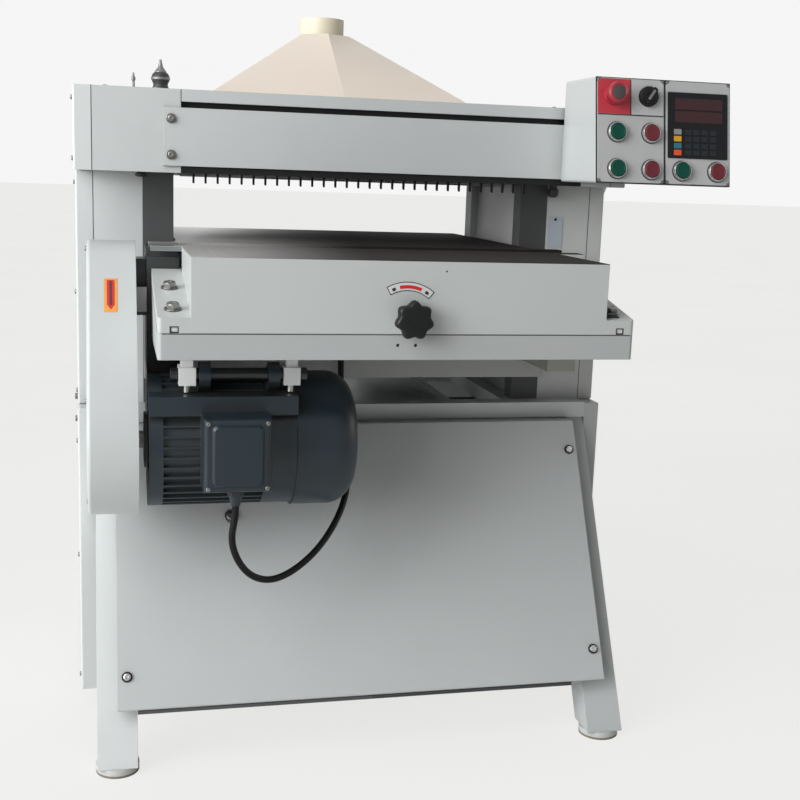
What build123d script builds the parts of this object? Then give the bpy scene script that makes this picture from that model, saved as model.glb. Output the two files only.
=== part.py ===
import os
from math import cos, pi, radians, sin, sqrt, tan

from build123d import *

# Double-sided planer. Two columns on a splayed base carry a head with the upper cutter and
# the feed rollers. A carriage with the lower cutter, bed and infeed table climbs the columns.
# Millimetres. +Z is up, +Y is the feed direction, +X is the operator's right.
# The origin is on the floor, midway between the four anchor holes.

# Clearances
slide_gap = 0.3
shaft_gap = 0.05
belt_gap = 0.3
cover_seam = 1.0

# How far a cut runs past the face that it opens
past = 1.0

# Passage between the columns, and the carriage's travel
guide_gap = 640.0
table_side_gap = 2.5
table_top_z = 857.0
cut_plane_z = 966.5
travel_up = 90.0
travel_down = 30.0

# Columns, guides and outer covers
column_width = 122.0
column_depth = 362.0
column_wall = 12.0
column_top_z = 971.5
guide_width = 53.0
guide_depth = 40.0
guide_overhang = 15.0
cover_reach = 30.0
cover_sheet = 3.0
cover_round = 4.0
base_cover_bottom_z = 40.0
base_cover_top_z = 562.0

# Base
base_top_z = 564.0
base_frame_height = 29.0
base_apron = 39.0
base_frame_rail = 40.0
base_side_rail = 157.0
leg_width = 65.0
leg_depth = 62.0
leg_wall = 5.0
leg_slope = 0.53
leg_setback = 8.0
foot_diameter = 70.0
foot_height = 14.0
anchor_hole_diameter = 14.0
panel_half_width = 424.0
panel_bottom_z = 105.0
panel_top_gap = 2.0
panel_standoff = 34.0
panel_sheet = 3.0
panel_round = 4.0
panel_screw_side = 15.5
panel_screw_bottom = 50.5
panel_screw_top = 50.0

# Chip tray in the base opening
tray_right_x = 206.0
tray_drop = 18.0
tray_sheet = 3.0
tray_flange_height = 14.0

# Head
head_height = 136.5
head_front_reach = 95.0
head_rear_reach = 109.0
block_overhang = 22.5
block_bearing_wall = 32.5
block_wall = 14.0
block_end_wall = 22.0
block_floor = 14.0
beam_height = 20.0
beam_depth = 30.0
head_slot_height = 10.0
head_slot_recess = 12.0
head_slot_plate = 4.0
rail_height = 11.5
rail_depth = 14.0
head_panel_thickness = 5.0
head_panel_lap = 29.5
head_panel_right_lap = 87.5
head_lid_thickness = 4.0
head_bolt_inset = 13.0
head_bolt_edge = 18.0
dust_hole_half_width = 140.0
dust_hole_front_y = 20.0
dust_hole_back_y = 230.0

# Dust hood and collar
hood_height = 146.0
hood_half_width = 262.0
hood_front_y = -78.0
hood_ridge_y = -96.0
hood_back_y = 285.0
hood_top_half_width = 48.0
hood_top_ridge_y = 120.0
hood_top_front_y = 150.0
hood_top_back_y = 250.0
hood_sheet = 3.0
collar_y = 200.0
collar_radius = 45.0
collar_wall = 2.5
collar_height = 35.0

# Cutters, pulleys and bearings
knife_radius = 58.7
cutter_body_radius = 52.0
knife_thickness = 4.0
knife_root_radius = 40.0
gullet_radius = 9.0
knife_count = 4
cutter_shaft_radius = 20.0
cutter_end_gap = 12.5
cutter_bearing_radius = 35.0
cutter_bearing_width = 26.0
cutter_pulley_radius = 50.0
upper_cutter_y = 0.0
lower_cutter_y = -325.0
knife_below_table = 0.3
shaft_end_reach = 8.0

# Feed rollers and kickback fingers
roller_radius = 42.5
roller_bite = 1.5
roller_half_length = 305.0
roller_shaft_radius = 15.0
roller_bearing_radius = 25.0
roller_bearing_width = 20.0
roller_groove_count = 30
roller_groove_width = 3.0
roller_groove_depth = 2.5
infeed_roller_y = -112.0
outfeed_roller_y = 112.0
sprocket_radius = 18.0
sprocket_width = 10.0
chain_height = 5.0
feed_gearbox_width = 84.0
feed_gearbox_depth = 70.0
feed_gearbox_height = 54.0
feed_motor_radius = 30.0
feed_motor_length = 100.0
finger_count = 30
finger_pitch = 20.5
finger_row_x = 8.0
finger_thickness = 3.5
finger_shaft_radius = 8.0
finger_shaft_seat = 15.0
finger_hub_radius = 13.0
finger_hub_width = 12.0
finger_shaft_y = -238.0
finger_shaft_z = 990.0
finger_tip_z = 955.0
finger_half_width = 3.0

# Motors
motor_body_radius = 99.0
motor_fin_radius = 106.0
motor_cowl_radius = 110.0
motor_cowl_round = 45.0
motor_bell_length = 22.0
motor_body_length = 206.0
motor_band_length = 50.0
motor_cowl_length = 103.0
motor_fin_count = 40
motor_fin_width = 3.5
motor_boss_radius = 45.0
motor_boss_length = 5.0
motor_shaft_radius = 14.0
motor_shaft_seat = 44.0
motor_pulley_radius = 85.0
pulley_width = 38.0
belt_width = 32.0
belt_thickness = 9.0
lower_motor_x = -374.0
lower_motor_y = -425.0
lower_motor_z = 550.0
upper_motor_x = 470.0
upper_motor_y = 390.0
upper_motor_z = 658.0
motor_foot_width = 190.0
motor_foot_start = 40.0
motor_foot_end_gap = 8.0
motor_shelf_thickness = 8.0

# Belt guards
guard_sheet = 2.0
lower_guard_width = 77.0
lower_guard_gap = 17.0
lower_guard_top_radius = 63.0
lower_guard_bottom_radius = 118.0
guard_shaft_hole = 30.0
guard_round = 6.0
upper_guard_width = 61.0
upper_guard_margin = 20.0

# Motor hinge, terminal box and cable
hinge_rod_radius = 11.0
hinge_rod_y = -500.0
hinge_rod_z = 667.0
hinge_block_width = 26.0
hinge_block_depth = 40.0
hinge_block_height = 28.0
hinge_stem_inset = 4.0
hinge_left_x = -316.0
hinge_right_x = -155.0
hinge_rod_reach = 12.0
hinge_screw_radius = 5.0
hinge_screw_length = 13.0
ear_width = 18.0
ear_gap = 5.0
ear_radius = 20.0
motor_rail_bottom = 58.0
motor_rail_height = 30.0
motor_rail_back = 25.0
terminal_x = -245.0
terminal_z = 558.0
terminal_width = 102.0
terminal_height = 114.0
terminal_base_depth = 38.0
terminal_lid_depth = 14.0
terminal_lid_round = 7.0
terminal_pad_depth = 8.0
gland_radius = 13.0
gland_nut_height = 12.0
gland_taper_height = 16.0
gland_neck_radius = 10.4
gland_tip_wall = 1.65
cable_radius = 5.5
cable_drop = 18.0
cable_rise = 65.0
cable_bend_share = 0.45
cable_loop = [
    (-252, -557, 418), (-241, -554, 382), (-219, -547, 354), (-189, -535, 341),
    (-157, -517, 344), (-122, -494, 359), (-92, -468, 379), (-66, -438, 404), (-47, -408, 428),
    (-34, -375, 454), (-29, -330, 500), (-27, -284, 551),
]
clip_width = 26.0
clip_height = 24.0
clip_depth = 36.0
clip_offset = 24.0
clip_x = -25.0
clip_bottom_z = 665.0

# Carriage
arm_width = 52.0
arm_front_y = -370.0
arm_step_y = -352.0
arm_step_drop = 11.0
arm_bottom_z = 648.0
beam_depth_y = 30.7
beam_front_bottom_z = 612.0
beam_rear_bottom_z = 680.0
plate_bottom_z = 726.0
plate_top_z = 756.0
pad_width = 20.0
lug_half_depth = 30.0
lug_margin = 5.0
slot_margin = 8.0
guard_boss_y = -318.0
guard_boss_z = 752.0
guard_boss_size = 26.0

# Bed and infeed table
bed_thickness = 40.0
bed_front_y = -263.0
bed_back_y = 262.0
bed_wall_width = 25.0
bed_wall_inset = 12.0
lip_thickness = 8.0
lip_depth = 26.0
lip_overhang = 1.5
infeed_front_y = -624.0
infeed_back_y = -393.0
infeed_lip_depth = 32.0
infeed_top_thickness = 14.0
infeed_wall = 12.0
flange_width = 47.0
flange_thickness = 22.0
flange_back_gap = 6.0
slide_front_z = 748.0
slide_slope = 0.2
knee_bottom_z = 709.0
knee_front_wall = 14.0
knee_plate_thickness = 10.0
knee_cutter_gap = 6.0
corner_round = 6.0
knee_plate_front_y = -540.0
knee_plate_back_y = -430.0
gib_pocket_width = 13.0
gib_pocket_height = 10.0
gib_pocket_depth = 6.0
gauge_hole_radius = 2.5
gauge_hole_x = 0.8
gauge_hole_pitch = 27.3
gauge_hole_z = 731.0
lock_bolt_front_y = -585.0
lock_bolt_pitch = 105.0
lock_bolt_flats = 18.0
lock_bolt_height = 8.0
lock_washer_radius = 13.0
knob_x = 6.0
knob_z = 771.0
knob_radius = 29.5
knob_lobes = 7
knob_lobe_radius = 11.0
knob_thickness = 20.0
knob_neck = 10.0
knob_stud_radius = 6.0
knob_stud_seat = 16.0
knob_boss_radius = 12.0

# Lift
screw_radius = 16.0
screw_journal_radius = 12.0
screw_bottom_z = 436.0
screw_collar_z = 600.0
screw_shoulder_z = 944.0
screw_top_z = 962.0
screw_bearing_half = 30.0
screw_bearing_top = 20.0
nut_radius = 25.0
nut_height = 35.0
lift_sprocket_radius = 30.0
lift_sprocket_height = 10.0
lift_chain_gap = 0.3
lift_box_half = 35.0
lift_box_height = 68.0
lift_motor_radius = 33.0
lift_motor_length = 130.0

# Control box
box_x = 359.5
box_width = 245.2
box_bottom_z = 979.0
box_height = 174.4
box_bottom_depth = 162.0
box_lean = 29.0
box_wall = 3.0
box_round = 4.0
faceplate_thickness = 4.0
faceplate_margin = 2.0
faceplate_split = 123.5
faceplate_gap = 4.0
faceplate_corner = 7.0
button_radius = 12.0
button_bezel_radius = 16.5
button_bezel_height = 7.0
button_height = 10.0
button_depth = 8.0
button_gap = 0.3
stop_head_radius = 18.0
stop_head_height = 12.0
stop_head_start = 14.0
stop_head_round = 4.0
speed_knob_radius = 17.0
speed_knob_height = 20.0
speed_knob_round = 5.0
speed_spindle_radius = 4.0
display_side = 5.1
display_bottom = 45.5
display_top = 20.5
display_thickness = 4.0
button_left = 36.6
button_right = 97.9
button_row_low = 24.3
button_row_high = 85.4
feed_start_inset = 30.8
feed_stop_inset = 26.2
stop_x = 30.0
speed_x = 92.4
dial_row_drop = 30.8

# Small fittings
screw_head_flats = 10.4
screw_head_height = 4.5
washer_radius = 8.0
washer_height = 2.0
side_bolt_y = -120.0
side_bolt_high_z = 565.0
side_bolt_low_z = 524.0
bumper_radius = 10.0
bumper_height = 22.5
bumper_x = 376.0
bumper_y = -200.0
pin_x = -388.0
pin_radius = 3.5
pin_height = 32.0
cap_x = -340.0
cap_y = -160.0
cap_radius = 17.0
cap_height = 33.0
cap_dome_radius = 9.0
cap_dome_height = 22.0
cap_tip_radius = 3.0

# Places worked out from the sizes above
half_gap = guide_gap / 2
table_half = half_gap - table_side_gap
flange_half_width = table_half + flange_width
motor_foot_length = motor_bell_length + motor_body_length - motor_foot_start - motor_foot_end_gap
flange_middle_x = table_half + flange_width / 2
lip_half_width = flange_half_width + lip_overhang
column_in = half_gap + guide_overhang
column_out = column_in + column_width
guide_out = half_gap + guide_width
cover_out = column_out + cover_reach
column_y = column_depth / 2
base_y = column_y + base_apron
frame_bottom_z = base_top_z - base_frame_height
head_bottom_z = column_top_z
head_top_z = head_bottom_z + head_height
head_front_y = -(column_y + head_front_reach)
head_back_y = column_y + head_rear_reach
block_in = column_in - block_overhang
block_wall_x = block_in + block_bearing_wall
screw_x = (column_in + column_out) / 2
upper_cutter_z = cut_plane_z + knife_radius
lower_cutter_z = table_top_z - knife_below_table - knife_radius
roller_z = cut_plane_z - roller_bite + roller_radius
arm_in = half_gap
arm_out = arm_in + arm_width
arm_top_z = table_top_z - lip_thickness
beam_front_y = -(column_y + slide_gap)
beam_rear_y = column_y + slide_gap
beam_outer_y = beam_front_y - beam_depth_y
lower_guard_inner_x = -(max(arm_out, lip_half_width) + lower_guard_gap)
lower_guard_outer_x = lower_guard_inner_x - lower_guard_width
lower_pulley_x = (lower_guard_inner_x + lower_guard_outer_x) / 2
upper_pulley_x = cover_out + upper_guard_width / 2
panel_top_z = frame_bottom_z - panel_top_gap
lug_out = screw_x + nut_radius + lug_margin
flange_back_y = arm_front_y - flange_back_gap
terminal_back = lower_motor_y - motor_fin_radius - terminal_pad_depth
terminal_split = terminal_back - terminal_base_depth
terminal_bottom = terminal_z - terminal_height / 2
gland_y = (terminal_back + terminal_split) / 2
cable_start_z = terminal_bottom - gland_nut_height - gland_taper_height
clip_y = beam_outer_y - clip_offset
cable_start = [(terminal_x, gland_y, cable_start_z), (terminal_x, gland_y, cable_start_z - cable_drop)]
cable_end = [(clip_x, clip_y, clip_bottom_z - cable_rise), (clip_x, clip_y, clip_bottom_z)]
cable_points = cable_start + cable_loop + cable_end
box_rise = sqrt(box_height**2 + box_lean**2)
box_back_y = head_front_y - head_panel_thickness
box_front_y = box_back_y - box_bottom_depth
panel_plane = Plane(origin=(box_x, box_front_y, box_bottom_z), x_dir=(1, 0, 0),
                    z_dir=(0, -box_height, box_lean))
button_places = {
    "upper_cutter_start_button": (button_left, button_row_high),
    "upper_cutter_stop_button": (button_right, button_row_high),
    "lower_cutter_start_button": (button_left, button_row_low),
    "lower_cutter_stop_button": (button_right, button_row_low),
    "feed_start_button": (faceplate_split + feed_start_inset, button_row_low),
    "feed_stop_button": (box_width - feed_stop_inset, button_row_low),
}
stop_place = (stop_x, box_rise - dial_row_drop)
speed_place = (speed_x, box_rise - dial_row_drop)


# Shapes used by many pieces
def block(x0, x1, y0, y1, z0, z1):
    return Pos((x0 + x1) / 2, (y0 + y1) / 2, (z0 + z1) / 2) * Box(x1 - x0, y1 - y0, z1 - z0)


def rod_x(x0, x1, y, z, radius):
    return Pos((x0 + x1) / 2, y, z) * Rot(0, 90, 0) * Cylinder(radius, abs(x1 - x0))


def rod_y(x, y0, y1, z, radius):
    return Pos(x, (y0 + y1) / 2, z) * Rot(90, 0, 0) * Cylinder(radius, abs(y1 - y0))


def rod_z(x, y, z0, z1, radius):
    return Pos(x, y, (z0 + z1) / 2) * Cylinder(radius, abs(z1 - z0))


def side_prism(points, x0, x1):
    outline = Polygon(*points, align=None)
    return extrude(Plane.YZ.offset(x0) * outline, amount=x1 - x0, dir=(1, 0, 0))


def round_hull(circles, x0, x1):
    edges = []
    for y, z, radius in circles:
        edges += (Pos(y, z) * Circle(radius)).edges()
    return extrude(Plane.YZ.offset(x0) * make_hull(edges), amount=x1 - x0, dir=(1, 0, 0))


def flipped_x(shape):
    return mirror(shape, about=Plane.YZ)


def flipped_y(shape):
    return mirror(shape, about=Plane.XZ)


def left_and_right(shape):
    return [shape, flipped_x(shape)]


def four_corners(shape):
    front = left_and_right(shape)
    return front + [flipped_y(piece) for piece in front]


def hex_bolt(plane, flats=screw_head_flats, height=screw_head_height, washer_reach=washer_radius):
    washer = Pos(0, 0, washer_height / 2) * Cylinder(washer_reach, washer_height)
    head = extrude(RegularPolygon(flats / 2, 6, major_radius=False), amount=height)
    return plane * (washer + Pos(0, 0, washer_height) * head)


# Base
def leg_front(z):
    return -(base_y - leg_setback) - leg_slope * (frame_bottom_z - z)


def leg_outline(y_inset, z0, z1):
    near = [(leg_front(z0) + y_inset, z0), (leg_front(z1) + y_inset, z1)]
    far = [(leg_front(z1) + leg_depth - y_inset, z1), (leg_front(z0) + leg_depth - y_inset, z0)]
    return near + far


def make_leg():
    x0 = column_out - leg_width
    tube = side_prism(leg_outline(0, foot_height, frame_bottom_z), x0, column_out)
    bore = leg_outline(leg_wall * sqrt(1 + leg_slope**2), foot_height - past, frame_bottom_z + past)
    return tube - side_prism(bore, x0 + leg_wall, column_out - leg_wall)


def make_foot():
    x = column_out - leg_width / 2
    y = leg_front(foot_height) + leg_depth / 2
    disc = rod_z(x, y, 0, foot_height, foot_diameter / 2)
    return disc - rod_z(x, y, -past, foot_height + past, anchor_hole_diameter / 2)


def make_base_frame():
    frame = block(-column_out, column_out, -base_y, base_y, frame_bottom_z, base_top_z)
    open_x = column_out - base_side_rail
    open_y = base_y - base_frame_rail
    frame -= block(-open_x, open_x, -open_y, open_y, frame_bottom_z - past, base_top_z + past)
    for x in (-screw_x, screw_x):
        frame -= rod_z(x, 0, frame_bottom_z - past, base_top_z + past, screw_journal_radius + shaft_gap)
    return frame


def make_base_panel():
    def outline(front, back, z0, z1):
        lower = [(leg_front(z0) + back, z0), (leg_front(z0) - front, z0)]
        upper = [(leg_front(z1) - front, z1), (leg_front(z1) + back, z1)]
        return lower + upper

    fold = panel_standoff - panel_sheet * sqrt(1 + leg_slope**2)
    shell = side_prism(outline(panel_standoff, 0, panel_bottom_z, panel_top_z),
                       -panel_half_width, panel_half_width)
    shell = fillet(shell.faces().sort_by(Axis.Y)[0].edges(), panel_round)
    hollow = outline(fold, 1, panel_bottom_z + panel_sheet, panel_top_z - panel_sheet)
    inner = panel_half_width - panel_sheet
    return shell - side_prism(hollow, -inner, inner)


def panel_screw_plane(x, z):
    return Plane(origin=(x, leg_front(z) - panel_standoff, z), x_dir=(1, 0, 0), z_dir=(0, -1, leg_slope))


def make_panel_screws():
    screws = []
    x = panel_half_width - panel_screw_side
    for z in (panel_bottom_z + panel_screw_bottom, panel_top_z - panel_screw_top):
        screws += left_and_right(hex_bolt(panel_screw_plane(x, z)))
    return screws + [flipped_y(screw) for screw in screws]


def make_tray():
    open_x = column_out - base_side_rail
    open_y = base_y - base_frame_rail
    floor = base_top_z - tray_drop
    sheet = block(-open_x, tray_right_x, -open_y, open_y, floor, floor + tray_sheet)
    return sheet + block(tray_right_x - tray_sheet, tray_right_x, -open_y, open_y, floor,
                         floor + tray_flange_height)


# Columns, covers and guides
def make_column():
    notch_y = column_y - guide_depth
    column = block(column_in, column_out, -column_y, column_y, base_top_z, column_top_z)
    for y0, y1 in ((-column_y - past, -notch_y), (notch_y, column_y + past)):
        column -= block(column_in - past, guide_out, y0, y1, base_top_z - past, column_top_z + past)
    outer_x = column_out - column_wall
    far_y = column_y - column_wall
    near_y = notch_y - column_wall
    column -= block(guide_out + column_wall, outer_x, -far_y, far_y, base_top_z - past,
                    column_top_z + past)
    column -= block(column_in + column_wall, outer_x, -near_y, near_y, base_top_z - past,
                    column_top_z + past)
    slot = lug_half_depth + slot_margin
    slot_bottom = plate_top_z - nut_height - travel_down - slot_margin
    slot_top = plate_top_z + travel_up + slot_margin
    column -= block(column_in - past, column_in + column_wall + past, -slot, slot, slot_bottom, slot_top)
    return column


def make_guides():
    front = block(half_gap, guide_out, -column_y, -column_y + guide_depth, base_top_z, column_top_z)
    return four_corners(front)


def cover_pan(y0, y1, z0, z1):
    shell = block(column_out, cover_out, y0, y1, z0, z1)
    shell = fillet(shell.faces().sort_by(Axis.X)[-1].edges(), cover_round)
    return shell - block(column_out - past, cover_out - cover_sheet, y0 + cover_sheet, y1 - cover_sheet,
                         z0 + cover_sheet, z1 - cover_sheet)


def make_covers():
    base = cover_pan(-base_y, base_y, base_cover_bottom_z, base_cover_top_z)
    column = cover_pan(-column_y, column_y, base_cover_top_z + cover_seam, head_bottom_z - cover_seam)
    head = cover_pan(head_front_y, head_back_y, head_bottom_z, head_top_z)
    shaft_hole = rod_x(column_out, cover_out + past, upper_cutter_y, upper_cutter_z,
                       cutter_shaft_radius + slide_gap)
    covers = left_and_right(base) + left_and_right(column)
    return covers + [head - shaft_hole, flipped_x(head)]


def make_side_bolts():
    bolts = []
    for z in (side_bolt_high_z, side_bolt_low_z):
        plane = Plane(origin=(cover_out, side_bolt_y, z), x_dir=(0, 1, 0), z_dir=(1, 0, 0))
        bolts += left_and_right(hex_bolt(plane))
    return bolts


# Head
def make_head_block(shafts):
    frame = block(block_in, column_out, head_front_y, head_back_y, head_bottom_z, head_top_z)
    frame -= block(block_wall_x, column_out - block_wall, head_front_y + block_end_wall,
                   head_back_y - block_end_wall, head_bottom_z + block_floor, head_top_z + past)
    seats = [(upper_cutter_y, upper_cutter_z, cutter_bearing_radius),
             (infeed_roller_y, roller_z, roller_bearing_radius),
             (outfeed_roller_y, roller_z, roller_bearing_radius)]
    for y, z, radius in seats:
        frame -= rod_x(block_in - past, block_wall_x + past, y, z, radius)
    frame -= rod_x(block_in - past, block_in + finger_shaft_seat, finger_shaft_y, finger_shaft_z,
                   finger_shaft_radius + shaft_gap)
    for y, z, radius in shafts:
        frame -= rod_x(column_out - block_wall - past, column_out + past, y, z, radius + slide_gap)
    return frame


def make_head_blocks():
    right = make_head_block([(upper_cutter_y, upper_cutter_z, cutter_shaft_radius)])
    for groove in front_strips(past):
        right -= groove
    roller_ends = (infeed_roller_y, outfeed_roller_y)
    left = make_head_block([(y, roller_z, roller_shaft_radius) for y in roller_ends])
    return [right, flipped_x(left)]


def make_head_beams():
    front = block(-block_in, block_in, head_front_y, head_front_y + beam_depth,
                  head_top_z - beam_height, head_top_z)
    rear = block(-block_in, block_in, head_back_y - beam_depth, head_back_y,
                 head_top_z - beam_height, head_top_z)
    return [front, rear]


def front_strips(proud):
    right = block_in + head_panel_right_lap
    rail = block(-block_in, right, head_front_y - proud, head_front_y + rail_depth,
                 head_bottom_z - proud, head_bottom_z + rail_height)
    slot_y = head_front_y + head_slot_recess
    slot_top = head_top_z - beam_height
    near = head_front_y - proud if proud else slot_y
    backing = block(-block_in, right, near, slot_y + head_slot_plate, slot_top - 2 * head_slot_height,
                    slot_top)
    return [rail, backing]


def make_dark_rails():
    return front_strips(0)


def make_head_panel():
    bottom = head_bottom_z + rail_height
    top = head_top_z - beam_height - head_slot_height
    return block(-(block_in + head_panel_lap), block_in + head_panel_right_lap,
                 head_front_y - head_panel_thickness, head_front_y, bottom, top)


def make_head_bolts():
    x = -(block_in + head_panel_lap - head_bolt_inset)
    low = head_bottom_z + rail_height + head_bolt_edge
    high = head_top_z - beam_height - head_slot_height - head_bolt_edge
    face_y = head_front_y - head_panel_thickness
    return [hex_bolt(Plane(origin=(x, face_y, z), x_dir=(1, 0, 0), z_dir=(0, -1, 0)))
            for z in (low, high)]


def make_head_sheets():
    lid_bottom = head_top_z - head_lid_thickness
    top = block(-block_in, block_in, head_front_y + beam_depth, head_back_y - beam_depth, lid_bottom,
                head_top_z)
    top -= block(-dust_hole_half_width, dust_hole_half_width, dust_hole_front_y, dust_hole_back_y,
                 lid_bottom - past, head_top_z + past)
    lid = block(block_wall_x, column_out - block_wall, head_front_y + block_end_wall,
                head_back_y - block_end_wall, lid_bottom, head_top_z)
    rear = block(-block_in, block_in, head_back_y - head_lid_thickness, head_back_y,
                 head_bottom_z + rail_height, head_top_z - beam_height)
    return [top, rear] + left_and_right(lid)


def hood_form(inset, z0, z1):
    def outline(half, ridge, front, back, z):
        points = [(-half, front), (0, ridge), (half, front), (half, back), (-half, back)]
        return Pos(0, 0, z) * Polygon(*points, align=None)

    foot = outline(hood_half_width - inset, hood_ridge_y + inset, hood_front_y + inset,
                   hood_back_y - inset, z0)
    top = outline(hood_top_half_width - inset, hood_top_ridge_y + inset, hood_top_front_y + inset,
                  hood_top_back_y - inset, z1)
    return loft([foot, top], ruled=True)


def make_hood():
    top_z = head_top_z + hood_height
    shell = hood_form(0, head_top_z, top_z) - hood_form(hood_sheet, head_top_z, top_z - hood_sheet)
    return shell - rod_z(0, collar_y, top_z - 2 * hood_sheet, top_z + past, collar_radius - collar_wall)


def make_collar():
    z0 = head_top_z + hood_height
    tube = rod_z(0, collar_y, z0, z0 + collar_height, collar_radius)
    return tube - rod_z(0, collar_y, z0 - past, z0 + collar_height + past, collar_radius - collar_wall)


def bearing(x0, width, y, z, outer, shaft):
    ring = rod_x(x0, x0 + width, y, z, outer)
    return ring - rod_x(x0 - past, x0 + width + past, y, z, shaft + shaft_gap)


def make_head_bearings():
    rings = left_and_right(bearing(block_in + slide_gap, cutter_bearing_width, upper_cutter_y,
                                   upper_cutter_z,
                                   cutter_bearing_radius, cutter_shaft_radius))
    for y in (infeed_roller_y, outfeed_roller_y):
        rings += left_and_right(bearing(block_in + slide_gap, roller_bearing_width, y, roller_z,
                                        roller_bearing_radius, roller_shaft_radius))
    return rings


def make_finger_shaft():
    reach = block_in + finger_shaft_seat
    return rod_x(-reach, reach, finger_shaft_y, finger_shaft_z, finger_shaft_radius)


def make_fingers():
    drop = finger_shaft_z - finger_tip_z
    blade = [(finger_shaft_y - finger_half_width, finger_shaft_z),
             (finger_shaft_y + finger_half_width, finger_shaft_z),
             (finger_shaft_y + finger_half_width, finger_tip_z + finger_half_width),
             (finger_shaft_y - finger_half_width / 2, finger_shaft_z - drop)]
    fingers = []
    for index in range(finger_count):
        x = finger_row_x + (index - (finger_count - 1) / 2) * finger_pitch
        finger = side_prism(blade, x - finger_thickness / 2, x + finger_thickness / 2)
        finger += rod_x(x - finger_hub_width / 2, x + finger_hub_width / 2, finger_shaft_y,
                        finger_shaft_z,
                        finger_hub_radius)
        finger -= rod_x(x - finger_hub_width, x + finger_hub_width, finger_shaft_y, finger_shaft_z,
                        finger_shaft_radius + shaft_gap)
        fingers.append(finger)
    return fingers


# Turning pieces
def make_cutter(y, z, half_length, x_left, x_right):
    body = rod_x(-half_length, half_length, y, z, cutter_body_radius)
    for index in range(knife_count):
        turn = Pos(0, y, z) * Rot(360 / knife_count * (index + 0.5), 0, 0)
        gullet = turn * rod_x(-half_length - past, half_length + past, -gullet_radius, cutter_body_radius,
                              gullet_radius)
        knife = turn * block(-half_length, half_length, 0, knife_thickness, knife_root_radius,
                             knife_tip())
        body = body - gullet + knife
    return body + rod_x(x_left, x_right, y, z, cutter_shaft_radius)


def knife_tip():
    return sqrt(knife_radius**2 - knife_thickness**2)


def pulley(x, y, z, radius):
    return rod_x(x - pulley_width / 2, x + pulley_width / 2, y, z, radius)


def make_upper_cutter():
    half = table_half - cutter_end_gap
    cutter = make_cutter(upper_cutter_y, upper_cutter_z, half, -(block_in + cutter_bearing_width),
                         upper_pulley_x + pulley_width / 2)
    return cutter + pulley(upper_pulley_x, upper_cutter_y, upper_cutter_z, cutter_pulley_radius)


def make_lower_cutter():
    half = table_half - cutter_end_gap
    cutter = make_cutter(lower_cutter_y, lower_cutter_z, half, lower_pulley_x - pulley_width / 2,
                         arm_out + shaft_end_reach)
    return cutter + pulley(lower_pulley_x, lower_cutter_y, lower_cutter_z, cutter_pulley_radius)


def make_roller(y):
    roller = rod_x(-roller_half_length, roller_half_length, y, roller_z, roller_radius)
    depth = roller_radius - roller_groove_depth
    grooves = []
    for index in range(roller_groove_count):
        turn = Pos(0, y, roller_z) * Rot(360 / roller_groove_count * index, 0, 0)
        grooves.append(turn * block(-roller_half_length - past, roller_half_length + past,
                                    -roller_groove_width / 2,
                                    roller_groove_width / 2, depth, roller_radius + past))
    roller -= grooves
    sprocket_x = column_out + cover_reach / 2
    roller += rod_x(-(block_in + roller_bearing_width), sprocket_x + sprocket_width / 2, y, roller_z,
                    roller_shaft_radius)
    return roller + rod_x(sprocket_x - sprocket_width / 2, sprocket_x + sprocket_width / 2, y, roller_z,
                          sprocket_radius)


def loop(circles, thickness, x0, x1):
    outer = [(y, z, radius + thickness) for y, z, radius in circles]
    return round_hull(outer, x0, x1) - round_hull(circles, x0 - past, x1 + past)


def make_feed_drive():
    floor = head_bottom_z + block_floor
    middle = (block_wall_x + column_out - block_wall) / 2
    y0 = outfeed_roller_y - feed_gearbox_depth / 2
    y1 = outfeed_roller_y + feed_gearbox_depth / 2
    box = block(middle - feed_gearbox_width / 2, middle + feed_gearbox_width / 2, y0, y1, floor,
                floor + feed_gearbox_height)
    box += rod_y(middle, y1, y1 + feed_motor_length, floor + feed_motor_radius, feed_motor_radius)
    box -= rod_x(block_wall_x, column_out, outfeed_roller_y, roller_z, roller_shaft_radius + shaft_gap)
    sprocket_x = column_out + cover_reach / 2
    circles = [(y, roller_z, sprocket_radius + belt_gap) for y in (infeed_roller_y, outfeed_roller_y)]
    chain = loop(circles, chain_height, sprocket_x - sprocket_width / 2, sprocket_x + sprocket_width / 2)
    return [box, chain]


# Motors, drawn from the drive end at x = 0 along +X with the shaft on the axis
def motor_form():
    x1 = motor_bell_length
    x2 = x1 + motor_body_length
    x3 = x2 + motor_cowl_length
    fin_end = x2 - motor_band_length
    housing = rod_x(0, x1, 0, 0, motor_fin_radius) + rod_x(x1, x2, 0, 0, motor_body_radius)
    housing += rod_x(fin_end, x2, 0, 0, motor_fin_radius)
    fins = []
    for index in range(motor_fin_count):
        turn = Rot(360 / motor_fin_count * (index + 0.5), 0, 0)
        fins.append(turn * block(x1, fin_end, -motor_fin_width / 2, motor_fin_width / 2,
                                 motor_body_radius - motor_fin_width, motor_fin_radius))
    housing += fins
    cowl = rod_x(x2, x3, 0, 0, motor_cowl_radius)
    far_edge = cowl.edges().filter_by(GeomType.CIRCLE).sort_by(Axis.X)[-1]
    housing += fillet(far_edge, motor_cowl_round)
    housing += rod_x(-motor_boss_length, 0, 0, 0, motor_boss_radius)
    return housing - rod_x(-motor_boss_length - past, motor_shaft_seat, 0, 0,
                           motor_shaft_radius + shaft_gap)


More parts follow.
